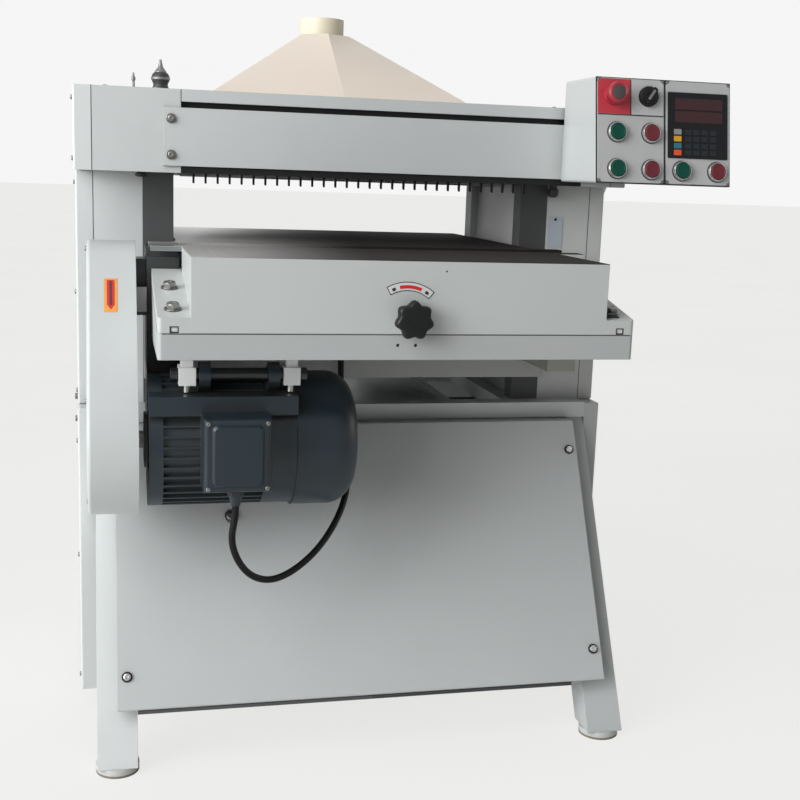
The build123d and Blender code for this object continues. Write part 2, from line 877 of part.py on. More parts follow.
def make_lower_motor():
    motor = Pos(lower_motor_x, lower_motor_y, lower_motor_z) * motor_form()
    pad_back = lower_motor_y - motor_body_radius + motor_fin_width
    pad_front = lower_motor_y - motor_fin_radius - terminal_pad_depth
    motor += block(terminal_x - terminal_width / 2, terminal_x + terminal_width / 2, pad_front,
                   pad_back + motor_body_radius / 2, terminal_z - terminal_height / 2,
                   terminal_z + terminal_height / 2)
    rail_z = lower_motor_z + motor_rail_bottom
    motor += block(lower_motor_x, lower_motor_x + motor_bell_length + motor_body_length,
                   lower_motor_y - motor_fin_radius, lower_motor_y - motor_rail_back, rail_z,
                   rail_z + motor_rail_height)
    left_x = hinge_left_x + hinge_block_width / 2 + ear_gap
    right_x = hinge_right_x - hinge_block_width / 2 - ear_gap - ear_width
    for x in (left_x, right_x):
        circles = [(hinge_rod_y, hinge_rod_z, ear_radius),
                   (lower_motor_y, lower_motor_z + motor_body_radius - ear_radius, ear_radius)]
        motor += round_hull(circles, x, x + ear_width)
    return motor - rod_x(left_x - past, right_x + ear_width + past, hinge_rod_y, hinge_rod_z,
                         hinge_rod_radius + shaft_gap)


def make_motor_shaft(x, y, z, pulley_x, direction):
    seat = x + direction * (motor_shaft_seat - motor_boss_length)
    tip = pulley_x - direction * pulley_width / 2
    shaft = rod_x(min(seat, tip), max(seat, tip), y, z, motor_shaft_radius)
    return shaft + pulley(pulley_x, y, z, motor_pulley_radius)


def make_upper_shaft():
    return make_motor_shaft(upper_motor_x, upper_motor_y, upper_motor_z, upper_pulley_x, -1)


def make_upper_motor():
    motor = Pos(upper_motor_x, upper_motor_y, upper_motor_z) * flipped_x(motor_form())
    shelf_top = frame_bottom_z + motor_shelf_thickness
    x1 = upper_motor_x - motor_foot_start
    x0 = x1 - motor_foot_length
    foot_y = motor_foot_width / 2
    motor += block(x0, x1, upper_motor_y - foot_y, upper_motor_y + foot_y, shelf_top,
                   upper_motor_z - motor_body_radius + motor_fin_width)
    shelf = block(x0, x1, base_y, upper_motor_y + foot_y, frame_bottom_z, shelf_top)
    return [motor, shelf]


def belt_circles(cutter_y, cutter_z, motor_y, motor_z):
    return [(cutter_y, cutter_z, cutter_pulley_radius + belt_gap),
            (motor_y, motor_z, motor_pulley_radius + belt_gap)]


def make_upper_belt():
    circles = belt_circles(upper_cutter_y, upper_cutter_z, upper_motor_y, upper_motor_z)
    return loop(circles, belt_thickness, upper_pulley_x - belt_width / 2, upper_pulley_x + belt_width / 2)


def make_lower_belt():
    circles = belt_circles(lower_cutter_y, lower_cutter_z, lower_motor_y, lower_motor_z)
    return loop(circles, belt_thickness, lower_pulley_x - belt_width / 2, lower_pulley_x + belt_width / 2)


def make_upper_guard():
    x1 = cover_out + upper_guard_width

    def circles(margin):
        return [(upper_cutter_y, upper_cutter_z, cutter_pulley_radius + margin),
                (upper_motor_y, upper_motor_z, motor_pulley_radius + margin)]

    shell = round_hull(circles(upper_guard_margin), cover_out, x1)
    return shell - round_hull(circles(upper_guard_margin - guard_sheet), cover_out - past,
                              x1 - guard_sheet)


def make_lower_guard():
    def circles(inset):
        return [(lower_cutter_y, lower_cutter_z, lower_guard_top_radius - inset),
                (lower_motor_y, lower_motor_z, lower_guard_bottom_radius - inset)]

    shell = round_hull(circles(0), lower_guard_outer_x, lower_guard_inner_x)
    rim = shell.faces().sort_by(Axis.X)[0].edges()
    shell = fillet(rim, guard_round)
    shell -= round_hull(circles(guard_sheet), lower_guard_outer_x + guard_sheet,
                        lower_guard_inner_x - guard_sheet)
    shafts = [(lower_cutter_y, lower_cutter_z), (lower_motor_y, lower_motor_z)]
    for y, z in shafts:
        shell -= rod_x(lower_guard_inner_x - 2 * guard_sheet, lower_guard_inner_x + past, y, z,
                       guard_shaft_hole)
    return shell


# Motor hinge, terminal box and cable
def make_hinge():
    rod = rod_x(hinge_left_x - hinge_block_width / 2 - hinge_rod_reach,
                hinge_right_x + hinge_block_width / 2 + hinge_rod_reach, hinge_rod_y, hinge_rod_z,
                hinge_rod_radius)
    pieces = [rod]
    half_w = hinge_block_width / 2
    half_d = hinge_block_depth / 2
    bottom = hinge_rod_z - hinge_block_height / 2
    top = hinge_rod_z + hinge_block_height / 2
    for x in (hinge_left_x, hinge_right_x):
        holder = block(x - half_w, x + half_w, hinge_rod_y - half_d, hinge_rod_y + half_d, bottom, top)
        holder += block(x - half_w + hinge_stem_inset, x + half_w - hinge_stem_inset,
                        hinge_rod_y - half_d + hinge_stem_inset, hinge_rod_y + half_d - hinge_stem_inset,
                        top, knee_bottom_z)
        holder -= rod_x(x - half_w - past, x + half_w + past, hinge_rod_y, hinge_rod_z,
                        hinge_rod_radius + shaft_gap)
        pieces.append(holder)
        pieces.append(rod_z(x, hinge_rod_y, bottom - hinge_screw_length, bottom, hinge_screw_radius))
    return pieces


def make_terminal_box():
    x0 = terminal_x - terminal_width / 2
    x1 = terminal_x + terminal_width / 2
    top = terminal_z + terminal_height / 2
    base = block(x0, x1, terminal_split, terminal_back, terminal_bottom, top)
    lid = block(x0, x1, terminal_split - terminal_lid_depth, terminal_split, terminal_bottom, top)
    front_face = lid.faces().sort_by(Axis.Y)[0]
    lid = fillet(front_face.edges(), terminal_lid_round)
    nut = Plane(origin=(terminal_x, gland_y, terminal_bottom), z_dir=(0, 0, -1))
    gland = extrude(nut * RegularPolygon(gland_radius, 6), amount=gland_nut_height)
    taper_z = terminal_bottom - gland_nut_height - gland_taper_height / 2
    taper = Cone(cable_radius + gland_tip_wall, gland_neck_radius, gland_taper_height)
    return [base, lid, gland + Pos(terminal_x, gland_y, taper_z) * taper]


def make_cable():
    points = [Vector(*point) for point in cable_points]
    radii = []
    for before, here, after in zip(points, points[1:], points[2:]):
        turn = radians((here - before).get_angle(after - here))
        shorter = min((here - before).length, (after - here).length)
        radii.append(cable_bend_share * shorter / tan(turn / 2))
    path = FilletPolyline(*points, radius=radii)
    start = Plane(origin=points[0], z_dir=path % 0)
    tube = sweep(start * Circle(cable_radius), path=path)
    section = pi * cable_radius**2
    print("cable radii", [round(value) for value in radii])
    print("cable volume over section times length", round(tube.volume / (section * path.length), 4))
    print("cable length", round(path.length, 1))
    return tube


# Carriage
def make_saddle():
    pad_out = half_gap - slide_gap
    pad_in = pad_out - pad_width
    lug_bottom = plate_top_z - nut_height
    saddle = block(-pad_in, pad_in, beam_front_y, beam_rear_y, plate_bottom_z, plate_top_z)
    saddle += block(-arm_out, arm_out, beam_outer_y, beam_front_y, beam_front_bottom_z, plate_top_z)
    saddle += block(-arm_out, arm_out, beam_rear_y, beam_rear_y + beam_depth_y, beam_rear_bottom_z,
                    plate_top_z)
    pad = block(pad_in, pad_out, beam_front_y, beam_rear_y, beam_rear_bottom_z, plate_top_z)
    lug = block(pad_out, lug_out, -lug_half_depth, lug_half_depth, lug_bottom, plate_top_z)
    lug -= rod_z(screw_x, 0, lug_bottom - past, plate_top_z + past, nut_radius)
    for piece in (pad, lug):
        saddle += piece
        saddle += flipped_x(piece)
    clip = block(clip_x - clip_width / 2, clip_x + clip_width / 2, beam_outer_y - clip_depth,
                 beam_outer_y,
                 clip_bottom_z, clip_bottom_z + clip_height)
    return [saddle, clip]


def make_cutter_arms():
    outline = [(arm_front_y, arm_bottom_z), (arm_front_y, arm_top_z - arm_step_drop),
               (arm_step_y, arm_top_z - arm_step_drop), (arm_step_y, arm_top_z),
               (beam_outer_y, arm_top_z), (beam_outer_y, arm_bottom_z)]
    arm = side_prism(outline, arm_in, arm_out)
    arm -= rod_x(arm_in - past, arm_out + past, lower_cutter_y, lower_cutter_z, cutter_bearing_radius)
    half = guard_boss_size / 2
    boss = block(lower_guard_inner_x, -arm_out, guard_boss_y - half, guard_boss_y + half,
                 guard_boss_z - half, guard_boss_z + half)
    return [arm, flipped_x(arm) + boss]


def make_carriage_bearings():
    middle = (arm_in + arm_out) / 2
    rings = left_and_right(bearing(middle - cutter_bearing_width / 2, cutter_bearing_width,
                                   lower_cutter_y,
                                   lower_cutter_z, cutter_bearing_radius, cutter_shaft_radius))
    nut = rod_z(screw_x, 0, plate_top_z - nut_height, plate_top_z, nut_radius)
    nut -= rod_z(screw_x, 0, plate_top_z - nut_height - past, plate_top_z + past,
                 screw_radius + shaft_gap)
    return rings + left_and_right(nut)


def make_bed():
    bed = block(-table_half, table_half, bed_front_y, bed_back_y, table_top_z - bed_thickness,
                table_top_z)
    outer = table_half - bed_wall_inset
    wall = block(outer - bed_wall_width, outer, beam_front_y, beam_rear_y, plate_top_z,
                 table_top_z - bed_thickness)
    bed += wall
    return bed + flipped_x(wall)


def make_bed_lip():
    return block(-lip_half_width, lip_half_width, bed_front_y - lip_depth, bed_front_y, arm_top_z,
                 table_top_z)


def slide_z(y):
    return slide_front_z + slide_slope * (y - infeed_front_y)


def make_infeed_table():
    half = table_half
    table = block(-half, half, infeed_front_y, infeed_back_y, table_top_z - infeed_top_thickness,
                  table_top_z)
    front = infeed_front_y
    side = [(front, slide_z(front)), (infeed_back_y, slide_z(infeed_back_y)),
            (infeed_back_y, table_top_z - infeed_top_thickness),
            (front, table_top_z - infeed_top_thickness)]
    flange = [(front, slide_z(front)), (flange_back_y, slide_z(flange_back_y)),
              (flange_back_y, slide_z(flange_back_y) + flange_thickness),
              (front, slide_z(front) + flange_thickness)]
    wall = side_prism(side, half - infeed_wall, half)
    rail = side_prism(flange, half, flange_half_width)
    rail = fillet(rail.edges().filter_by(Axis.Z).group_by(Axis.Y)[0].sort_by(Axis.X)[-1], corner_round)
    front_wall = [(front, slide_z(front)), (front + infeed_wall, slide_z(front + infeed_wall)),
                  (front + infeed_wall, table_top_z - infeed_top_thickness),
                  (front, table_top_z - infeed_top_thickness)]
    table += side_prism(front_wall, -half, half)
    pocket = block(flange_middle_x - gib_pocket_width / 2, flange_middle_x + gib_pocket_width / 2,
                   front - past,
                   front + gib_pocket_depth, slide_front_z - past, slide_front_z + gib_pocket_height)
    for piece in (wall, rail - pocket):
        table += piece
        table += flipped_x(piece)
    lip = block(-lip_half_width, lip_half_width, infeed_back_y, infeed_back_y + infeed_lip_depth,
                arm_top_z,
                table_top_z)
    boss_y = front + infeed_wall + knob_stud_seat
    table += rod_y(knob_x, front + infeed_wall, boss_y, knob_z, knob_boss_radius)
    return [table - rod_y(knob_x, front - past, boss_y + past, knob_z, knob_stud_radius + shaft_gap), lip]


def make_lock_bolts():
    bolts = []
    for index in range(2):
        y = lock_bolt_front_y + index * lock_bolt_pitch
        plane = Plane(origin=(flange_middle_x, y, slide_z(y) + flange_thickness), x_dir=(1, 0, 0),
                      z_dir=(0, -slide_slope, 1))
        bolt = hex_bolt(plane, lock_bolt_flats, lock_bolt_height, lock_washer_radius)
        bolts += left_and_right(bolt)
    return bolts


def make_knee():
    top = [(infeed_front_y, knee_bottom_z), (arm_front_y, knee_bottom_z),
           (arm_front_y, slide_z(arm_front_y) - slide_gap),
           (infeed_front_y, slide_z(infeed_front_y) - slide_gap)]
    knee = side_prism(top, -flange_half_width, flange_half_width)
    knee = fillet(knee.edges().filter_by(Axis.Z).group_by(Axis.Y)[0], corner_round)
    inner = table_half - infeed_wall
    knee -= block(-inner, inner, infeed_front_y + knee_front_wall, arm_front_y + past,
                  knee_bottom_z - past, table_top_z)
    knee += block(-inner, inner, knee_plate_front_y, knee_plate_back_y, knee_bottom_z,
                  knee_bottom_z + knee_plate_thickness)
    for x in (gauge_hole_x - gauge_hole_pitch / 2, gauge_hole_x + gauge_hole_pitch / 2):
        knee -= rod_y(x, infeed_front_y - past, infeed_front_y + knee_front_wall + past, gauge_hole_z,
                      gauge_hole_radius)
    return knee - block(-table_half, table_half, infeed_back_y - knee_cutter_gap, arm_front_y + past,
                        knee_bottom_z - past,
                        table_top_z)


def make_knob():
    face_y = infeed_front_y - slide_gap
    stud = rod_y(knob_x, infeed_front_y + infeed_wall + knob_stud_seat, face_y, knob_z, knob_stud_radius)
    neck = rod_y(knob_x, face_y, face_y - knob_neck, knob_z, knob_radius / 2)
    rim_y = face_y - knob_neck - knob_thickness
    star = rod_y(knob_x, face_y - knob_neck, rim_y, knob_z, knob_radius - knob_lobe_radius)
    for index in range(knob_lobes):
        angle = radians(360 / knob_lobes * index)
        reach = knob_radius - knob_lobe_radius
        star += rod_y(knob_x + reach * sin(angle), face_y - knob_neck, rim_y, knob_z + reach * cos(angle),
                      knob_lobe_radius)
    return stud + neck + star


# Lift
def make_lift_screw():
    screw = rod_z(screw_x, 0, screw_bottom_z, screw_collar_z + slide_gap, screw_journal_radius)
    screw += rod_z(screw_x, 0, screw_collar_z + slide_gap, screw_shoulder_z, screw_radius)
    screw += rod_z(screw_x, 0, screw_shoulder_z, screw_top_z, screw_journal_radius)
    return screw + rod_z(screw_x, 0, screw_bottom_z, screw_bottom_z + lift_sprocket_height,
                         lift_sprocket_radius)


def make_screw_bearings():
    half = screw_bearing_half
    foot = block(screw_x - half, screw_x + half, -half, half, base_top_z, screw_collar_z)
    top = block(column_in + column_wall, column_out - column_wall, -half, half,
                screw_shoulder_z + slide_gap,
                screw_shoulder_z + slide_gap + screw_bearing_top)
    bore = rod_z(screw_x, 0, base_top_z - past, column_top_z, screw_journal_radius + shaft_gap)
    return left_and_right(foot - bore) + left_and_right(top - bore)


def make_lift_drive():
    bottom = frame_bottom_z - lift_box_height
    box = block(screw_x - lift_box_half, screw_x + lift_box_half, -lift_box_half, lift_box_half, bottom,
                frame_bottom_z)
    box += rod_x(screw_x - lift_box_half - lift_motor_length, screw_x - lift_box_half, 0,
                 (bottom + frame_bottom_z) / 2, lift_motor_radius)
    box -= rod_z(screw_x, 0, bottom - past, frame_bottom_z + past, screw_journal_radius + shaft_gap)
    radius = lift_sprocket_radius + lift_chain_gap

    def ring(extra):
        edges = []
        for x in (-screw_x, screw_x):
            edges += (Pos(x, 0) * Circle(radius + extra)).edges()
        return Pos(0, 0, screw_bottom_z) * extrude(make_hull(edges), amount=lift_sprocket_height)

    return [box, ring(chain_height) - ring(0)]


# Control box
def on_panel(place, shape):
    return panel_plane * Pos(place[0], place[1], 0) * shape


def stub(radius, z0, z1):
    return Pos(0, 0, (z0 + z1) / 2) * Cylinder(radius, z1 - z0)


def make_control_box():
    back = box_back_y
    low = box_front_y
    top_z = box_bottom_z + box_height
    outline = [(back, box_bottom_z), (low, box_bottom_z), (low + box_lean, top_z), (back, top_z)]
    shell = side_prism(outline, box_x, box_x + box_width)
    shell = fillet(shell.edges().filter_by(Axis.Y), box_round)
    inner_back = back - box_wall
    inner_low = box_bottom_z + box_wall
    inner_top = top_z - box_wall
    lean = box_lean / box_height
    hollow = [(inner_back, inner_low), (low - past + lean * box_wall, inner_low),
              (low - past + lean * (box_height - box_wall), inner_top), (inner_back, inner_top)]
    split = box_x + faceplate_split
    shell -= side_prism(hollow, box_x + box_wall, split - faceplate_gap)
    return shell - side_prism(hollow, split + faceplate_gap, box_x + box_width - box_wall)


def make_faceplates():
    spans = [(faceplate_margin, faceplate_split - faceplate_gap / 2),
             (faceplate_split + faceplate_gap / 2, box_width - faceplate_margin)]
    plates = []
    for x0, x1 in spans:
        height = box_rise - 2 * faceplate_margin
        plate = Box(x1 - x0, height, faceplate_thickness)
        plate = chamfer(plate.edges().filter_by(Axis.Z), faceplate_corner)
        middle = Pos((x0 + x1) / 2, box_rise / 2, faceplate_thickness / 2)
        plates.append(panel_plane * middle * plate)
    button_hole = stub(button_radius + button_gap, -past, faceplate_thickness + past)
    speed_hole = stub(speed_spindle_radius + shaft_gap, -past, faceplate_thickness + past)
    holes = [on_panel(place, button_hole) for place in list(button_places.values()) + [stop_place]]
    holes.append(on_panel(speed_place, speed_hole))
    return [plate - holes for plate in plates]


def make_bezels():
    top = faceplate_thickness + button_bezel_height
    ring = stub(button_bezel_radius, faceplate_thickness, top)
    ring -= stub(button_radius + button_gap, 0, top + past)
    return [on_panel(place, ring) for place in list(button_places.values()) + [stop_place]]


def make_button():
    return stub(button_radius, -button_depth, faceplate_thickness + button_height)


def make_stop_button():
    head = stub(stop_head_radius, faceplate_thickness + stop_head_start,
                faceplate_thickness + stop_head_start + stop_head_height)
    head = fillet(head.edges().sort_by(Axis.Z)[-1], stop_head_round)
    return head + stub(button_radius, -button_depth, faceplate_thickness + stop_head_start)


def make_speed_knob():
    low = faceplate_thickness + slide_gap
    head = stub(speed_knob_radius, low, low + speed_knob_height)
    head = fillet(head.edges().sort_by(Axis.Z)[-1], speed_knob_round)
    return head + stub(speed_spindle_radius, -button_depth, low)


def make_display():
    width = box_width - faceplate_split - 2 * display_side
    height = box_rise - display_bottom - display_top
    unit = Box(width, height, display_thickness)
    middle = (faceplate_split + display_side + width / 2, display_bottom + height / 2)
    return on_panel(middle, Pos(0, 0, faceplate_thickness + display_thickness / 2) * unit)


def make_head_fittings():
    bumper = rod_z(bumper_x, bumper_y, head_bottom_z - bumper_height, head_bottom_z, bumper_radius)
    pin = rod_z(pin_x, cap_y, head_top_z, head_top_z + pin_height, pin_radius)
    cap = rod_z(cap_x, cap_y, head_top_z, head_top_z + cap_height, cap_radius)
    cap += Pos(cap_x, cap_y, head_top_z + cap_height + cap_dome_height / 2) * Cone(
        cap_dome_radius, cap_tip_radius, cap_dome_height)
    return left_and_right(bumper) + [pin, cap]


nodes = {
    "base_legs": four_corners(make_leg()),
    "base_top_frame": make_base_frame(),
    "foot_pads": four_corners(make_foot()),
    "base_front_panel": make_base_panel(),
    "base_rear_panel": flipped_y(make_base_panel()),
    "chip_tray": make_tray(),
    "columns": left_and_right(make_column()),
    "column_guides": make_guides(),
    "side_covers": make_covers(),
    "frame_bolts": make_panel_screws() + make_side_bolts() + make_head_bolts(),
    "lift_screw_bearings": make_screw_bearings(),
    "lift_drive": make_lift_drive(),
    "left_lift_screw": flipped_x(make_lift_screw()),
    "right_lift_screw": make_lift_screw(),
    "head_blocks": make_head_blocks(),
    "head_beams": make_head_beams(),
    "head_dark_rails": make_dark_rails() + [make_finger_shaft()],
    "head_front_panel": make_head_panel(),
    "head_sheet_covers": make_head_sheets(),
    "dust_hood": [make_hood(), make_collar()],
    "head_bearings": make_head_bearings(),
    "anti_kickback_fingers": make_fingers(),
    "upper_cutterhead": make_upper_cutter(),
    "infeed_roller": flipped_x(make_roller(infeed_roller_y)),
    "outfeed_roller": flipped_x(make_roller(outfeed_roller_y)),
    "feed_drive": [flipped_x(piece) for piece in make_feed_drive()],
    "upper_motor": make_upper_motor(),
    "upper_motor_shaft": make_upper_shaft(),
    "upper_belt": make_upper_belt(),
    "upper_belt_guard": make_upper_guard(),
    "control_box": make_control_box(),
    "control_faceplates": make_faceplates(),
    "button_bezels": make_bezels(),
    "display_unit": make_display(),
    "emergency_stop": on_panel(stop_place, make_stop_button()),
    "feed_speed_knob": on_panel(speed_place, make_speed_knob()),
    "head_fittings": make_head_fittings(),
    "saddle": make_saddle(),
    "cutter_arms": make_cutter_arms(),
    "carriage_bearings": make_carriage_bearings(),
    "bed_table": make_bed(),
    "bed_lip": make_bed_lip(),
    "lower_cutterhead": make_lower_cutter(),
    "infeed_knee": make_knee(),
    "infeed_table": make_infeed_table(),
    "lock_bolts": make_lock_bolts(),
    "depth_knob": make_knob(),
    "motor_hinge": make_hinge(),
    "lower_motor": make_lower_motor(),
    "lower_motor_shaft": make_motor_shaft(lower_motor_x, lower_motor_y, lower_motor_z, lower_pulley_x, 1),
    "lower_belt": make_lower_belt(),
    "lower_belt_guard": make_lower_guard(),
    "terminal_box": make_terminal_box(),
    "motor_cable": make_cable(),
}
for button_name, button_place in button_places.items():
    nodes[button_name] = on_panel(button_place, make_button())

os.makedirs("parts", exist_ok=True)
for node_name, shape in nodes.items():
    solids = shape if isinstance(shape, list) else [shape]
    export_step(Compound(children=solids), f"parts/{node_name}.step")
print("nodes", len(nodes))
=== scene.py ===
import math
from functools import partial
import bmesh
import bpy
from mathutils import Matrix, Vector


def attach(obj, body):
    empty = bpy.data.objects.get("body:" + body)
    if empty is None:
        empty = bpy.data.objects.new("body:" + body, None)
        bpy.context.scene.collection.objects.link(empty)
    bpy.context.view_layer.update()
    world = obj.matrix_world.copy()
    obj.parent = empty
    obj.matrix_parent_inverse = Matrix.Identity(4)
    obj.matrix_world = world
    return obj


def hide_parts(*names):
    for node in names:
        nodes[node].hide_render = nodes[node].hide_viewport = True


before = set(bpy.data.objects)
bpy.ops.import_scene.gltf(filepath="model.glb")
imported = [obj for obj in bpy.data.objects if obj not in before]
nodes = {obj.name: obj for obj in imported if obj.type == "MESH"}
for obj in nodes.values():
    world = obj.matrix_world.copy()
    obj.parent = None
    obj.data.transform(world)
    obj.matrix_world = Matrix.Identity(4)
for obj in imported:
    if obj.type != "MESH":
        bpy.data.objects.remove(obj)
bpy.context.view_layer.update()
mm = 0.001
print("frame loaded:", len(nodes), "CAD nodes")


def linear(hexCode):
    channels = [int(hexCode[i:i + 2], 16) / 255 for i in (1, 3, 5)]
    return tuple(c / 12.92 if c <= 0.04045 else ((c + 0.055) / 1.055) ** 2.4 for c in channels) + (1.0,)


# a node given as an input stands for its first live output, and a hex code for its colour
# numbered sockets: 6 and 7 are Mix's colours, 1 to 4 are Map Range's old and new limits
def addNode(tree, kind, inputs=None, **settings):
    node = tree.nodes.new(kind if "Node" in kind else "ShaderNode" + kind)
    if kind == "Mix":
        node.data_type = "RGBA"
    for key, value in settings.items():
        setattr(node, key, value)
    for key, value in (inputs or {}).items():
        if isinstance(value, bpy.types.Node):
            value = next(socket for socket in value.outputs if socket.enabled)
        if isinstance(value, bpy.types.NodeSocket):
            tree.links.new(value, node.inputs[key])
        else:
            node.inputs[key].default_value = linear(value) if isinstance(value, str) else value
    return node


def perMm(size):
    return 1 / (size * mm)  # texture scale for a pattern that repeats every so many mm


# every finish starts with two colours in patches
def startFinish(name, colour, shade, patchMm, detail=3.0):
    material = bpy.data.materials.new(name)
    material.use_nodes = True
    material.node_tree.nodes.clear()
    add = partial(addNode, material.node_tree)
    coords = add("TexCoord").outputs["Object"]
    patches = add("TexNoise", {"Vector": coords, "Scale": perMm(patchMm), "Detail": detail})
    return material, add, coords, add("Mix", {"Factor": patches, 6: colour, 7: shade})


def addObject(name, data):
    thing = bpy.data.objects.new(name, data)
    bpy.context.scene.collection.objects.link(thing)
    return thing


# camera: the photograph's view, from the front and a little to the left
cameraSettings = {
    "lens": 54.386, "sensor": 36, "place": (-0.4286, -2.361, 0.980),
    "right": (0.97266686, -0.22968159, 0.03414016),
    "up": (0.00931013, 0.1854824, 0.98260348),
    "back": (-0.23201832, -0.95542799, 0.18255095),
}
cameraData = bpy.data.cameras.new("camera")
cameraData.lens = cameraSettings["lens"]
cameraData.sensor_width = cameraSettings["sensor"]
camera = addObject("camera", cameraData)
turn = Matrix([cameraSettings[axis] for axis in ("right", "up", "back")]).transposed()
camera.matrix_world = Matrix.Translation(cameraSettings["place"]) @ turn.to_4x4()
bpy.context.scene.camera = camera
bpy.context.scene.view_settings.view_transform = "Standard"
print("camera placed")

# sprayed enamel on sheet steel: even colour, faint orange peel, corners darkened as dust and painted shade
enamelLook = {"patchMm": 320, "smearMm": 60, "edgeMm": 1.2, "peelDeepMm": 0.3, "dustAndShadeMm": 35, "dust": "#4a4740"}


def sprayedEnamel(name, colour, shade, roughness, peelMm=5, grimeAndShade=0.35, zones=()):
    material, add, coords, tint = startFinish(name, colour, shade, enamelLook["patchMm"])
    axes = add("SeparateXYZ", {0: coords}).outputs
    for axis, limit, other in zones:  # another colour past a place on one axis
        beyond = add("Math", {0: axes[axis], 1: limit}, operation="GREATER_THAN")
        tint = add("Mix", {"Factor": beyond, 6: tint, 7: other})
    # ambient occlusion darkens the corners: painted shade in a dust colour
    corners = add("AmbientOcclusion", {"Distance": enamelLook["dustAndShadeMm"] * mm}, samples=6).outputs["AO"]
    dust = add("MapRange", {0: corners, 1: 0.35, 2: 0.95, 3: grimeAndShade, 4: 0.0})
    dirtyAndShaded = add("Mix", {"Factor": dust, 6: tint, 7: enamelLook["dust"]})
    smears = add("TexNoise", {"Vector": coords, "Scale": perMm(enamelLook["smearMm"]), "Detail": 4.0})
    gloss = add("MapRange", {0: smears, 1: 0.3, 2: 0.7, 3: roughness - 0.06, 4: roughness + 0.08})
    peel = add("TexNoise", {"Vector": coords, "Scale": perMm(peelMm), "Detail": 1.0})
    soft = add("Bevel", {"Radius": enamelLook["edgeMm"] * mm}, samples=4)
    bump = add(
        "Bump", {"Strength": 0.05, "Distance": enamelLook["peelDeepMm"] * mm, "Height": peel, "Normal": soft})
    shader = add("BsdfPrincipled", {"Base Color": dirtyAndShaded, "Roughness": gloss, "IOR": 1.5, "Normal": bump})
    add("OutputMaterial", {"Surface": shader})
    return material


# worked metal: fine lines from the grinder or lathe along one axis, uneven gloss, corners darkened as oily dirt and
# painted shade
metalLook = {"patchMm": 70, "lineLong": 60, "edgeMm": 0.6, "lineDeepMm": 0.1, "oilAndShadeMm": 9, "oilAndShade": "#1b1a18"}


def workedMetal(name, colour, shade, roughness, lineMm, along, metallic=1.0, grimeAndShade=0.0):
    material, add, coords, tint = startFinish(name, colour, shade, metalLook["patchMm"], 4.0)
    stretch = [perMm(lineMm)] * 3
    stretch[along] = perMm(lineMm * metalLook["lineLong"])
    lines = add("Mapping", {"Vector": coords, "Scale": stretch})
    scratches = add("TexNoise", {"Vector": lines, "Scale": 1.0, "Detail": 2.0})
    gloss = add("MapRange", {0: scratches, 1: 0.25, 2: 0.75, 3: roughness - 0.07, 4: roughness + 0.1})
    if grimeAndShade:
        # ambient occlusion darkens the corners: painted shade in an oily dirt colour
        corners = add("AmbientOcclusion", {"Distance": metalLook["oilAndShadeMm"] * mm}, samples=6).outputs["AO"]
        dirtAndShade = add("MapRange", {0: corners, 1: 0.3, 2: 0.9, 3: grimeAndShade, 4: 0.0})
        tint = add("Mix", {"Factor": dirtAndShade, 6: tint, 7: metalLook["oilAndShade"]})
    soft = add("Bevel", {"Radius": metalLook["edgeMm"] * mm}, samples=4)
    bump = add(
        "Bump", {"Strength": 0.08, "Distance": metalLook["lineDeepMm"] * mm, "Height": scratches, "Normal": soft})
    shader = add("BsdfPrincipled", {"Base Color": tint, "Roughness": gloss, "Metallic": metallic, "Normal": bump})
    add("OutputMaterial", {"Surface": shader})
    return material


# moulded plastic: fine grain from the mould, colour hardly varies
plasticLook = {"patchMm": 18, "grainDeepMm": 0.2}


def mouldedPlastic(name, colour, shade, roughness, grainMm=2.5, ior=1.49):
    material, add, coords, tint = startFinish(name, colour, shade, plasticLook["patchMm"])
    smears = add("TexNoise", {"Vector": coords, "Scale": perMm(plasticLook["patchMm"]), "Detail": 3.0})
    grain = add("TexNoise", {"Vector": coords, "Scale": perMm(grainMm), "Detail": 1.0})
    gloss = add("MapRange", {0: smears, 1: 0.3, 2: 0.7, 3: roughness - 0.04, 4: roughness + 0.06})
    bump = add("Bump", {"Strength": 0.06, "Distance": plasticLook["grainDeepMm"] * mm, "Height": grain})
    shader = add("BsdfPrincipled", {"Base Color": tint, "Roughness": gloss, "IOR": ior, "Normal": bump})
    add("OutputMaterial", {"Surface": shader})
    return material


# cast iron tables: enamelled sides, ground top browned by resin, painted paler and more metallic towards the left as
# a painted reflection, and smoother there
tableTop = {"paintEnds": 0.8562, "lipBottom": 0.7, "lipEnds": -0.3177, "lipLow": 0.8492, "patchMm": 280,
            "lineMm": (4, 320, 4), "sheenAcross": (1, -0.13, 0), "sheenFrom": -0.275, "sheenTo": 0.04,
            "sheenFade": 1.9, "dull": 0.9, "polished": 0.29, "paintGloss": 0.38}
ironColours = {"paint": "#c2c6c5", "paintShade": "#bcc0bf", "iron": "#1c1614", "wornSheen": "#e0dedd",
               "lip": "#c6c7c5", "lipEdge": "#7b8082"}
bedColours = {**ironColours, "paint": "#aeb1b0", "paintShade": "#a4a7a6"}


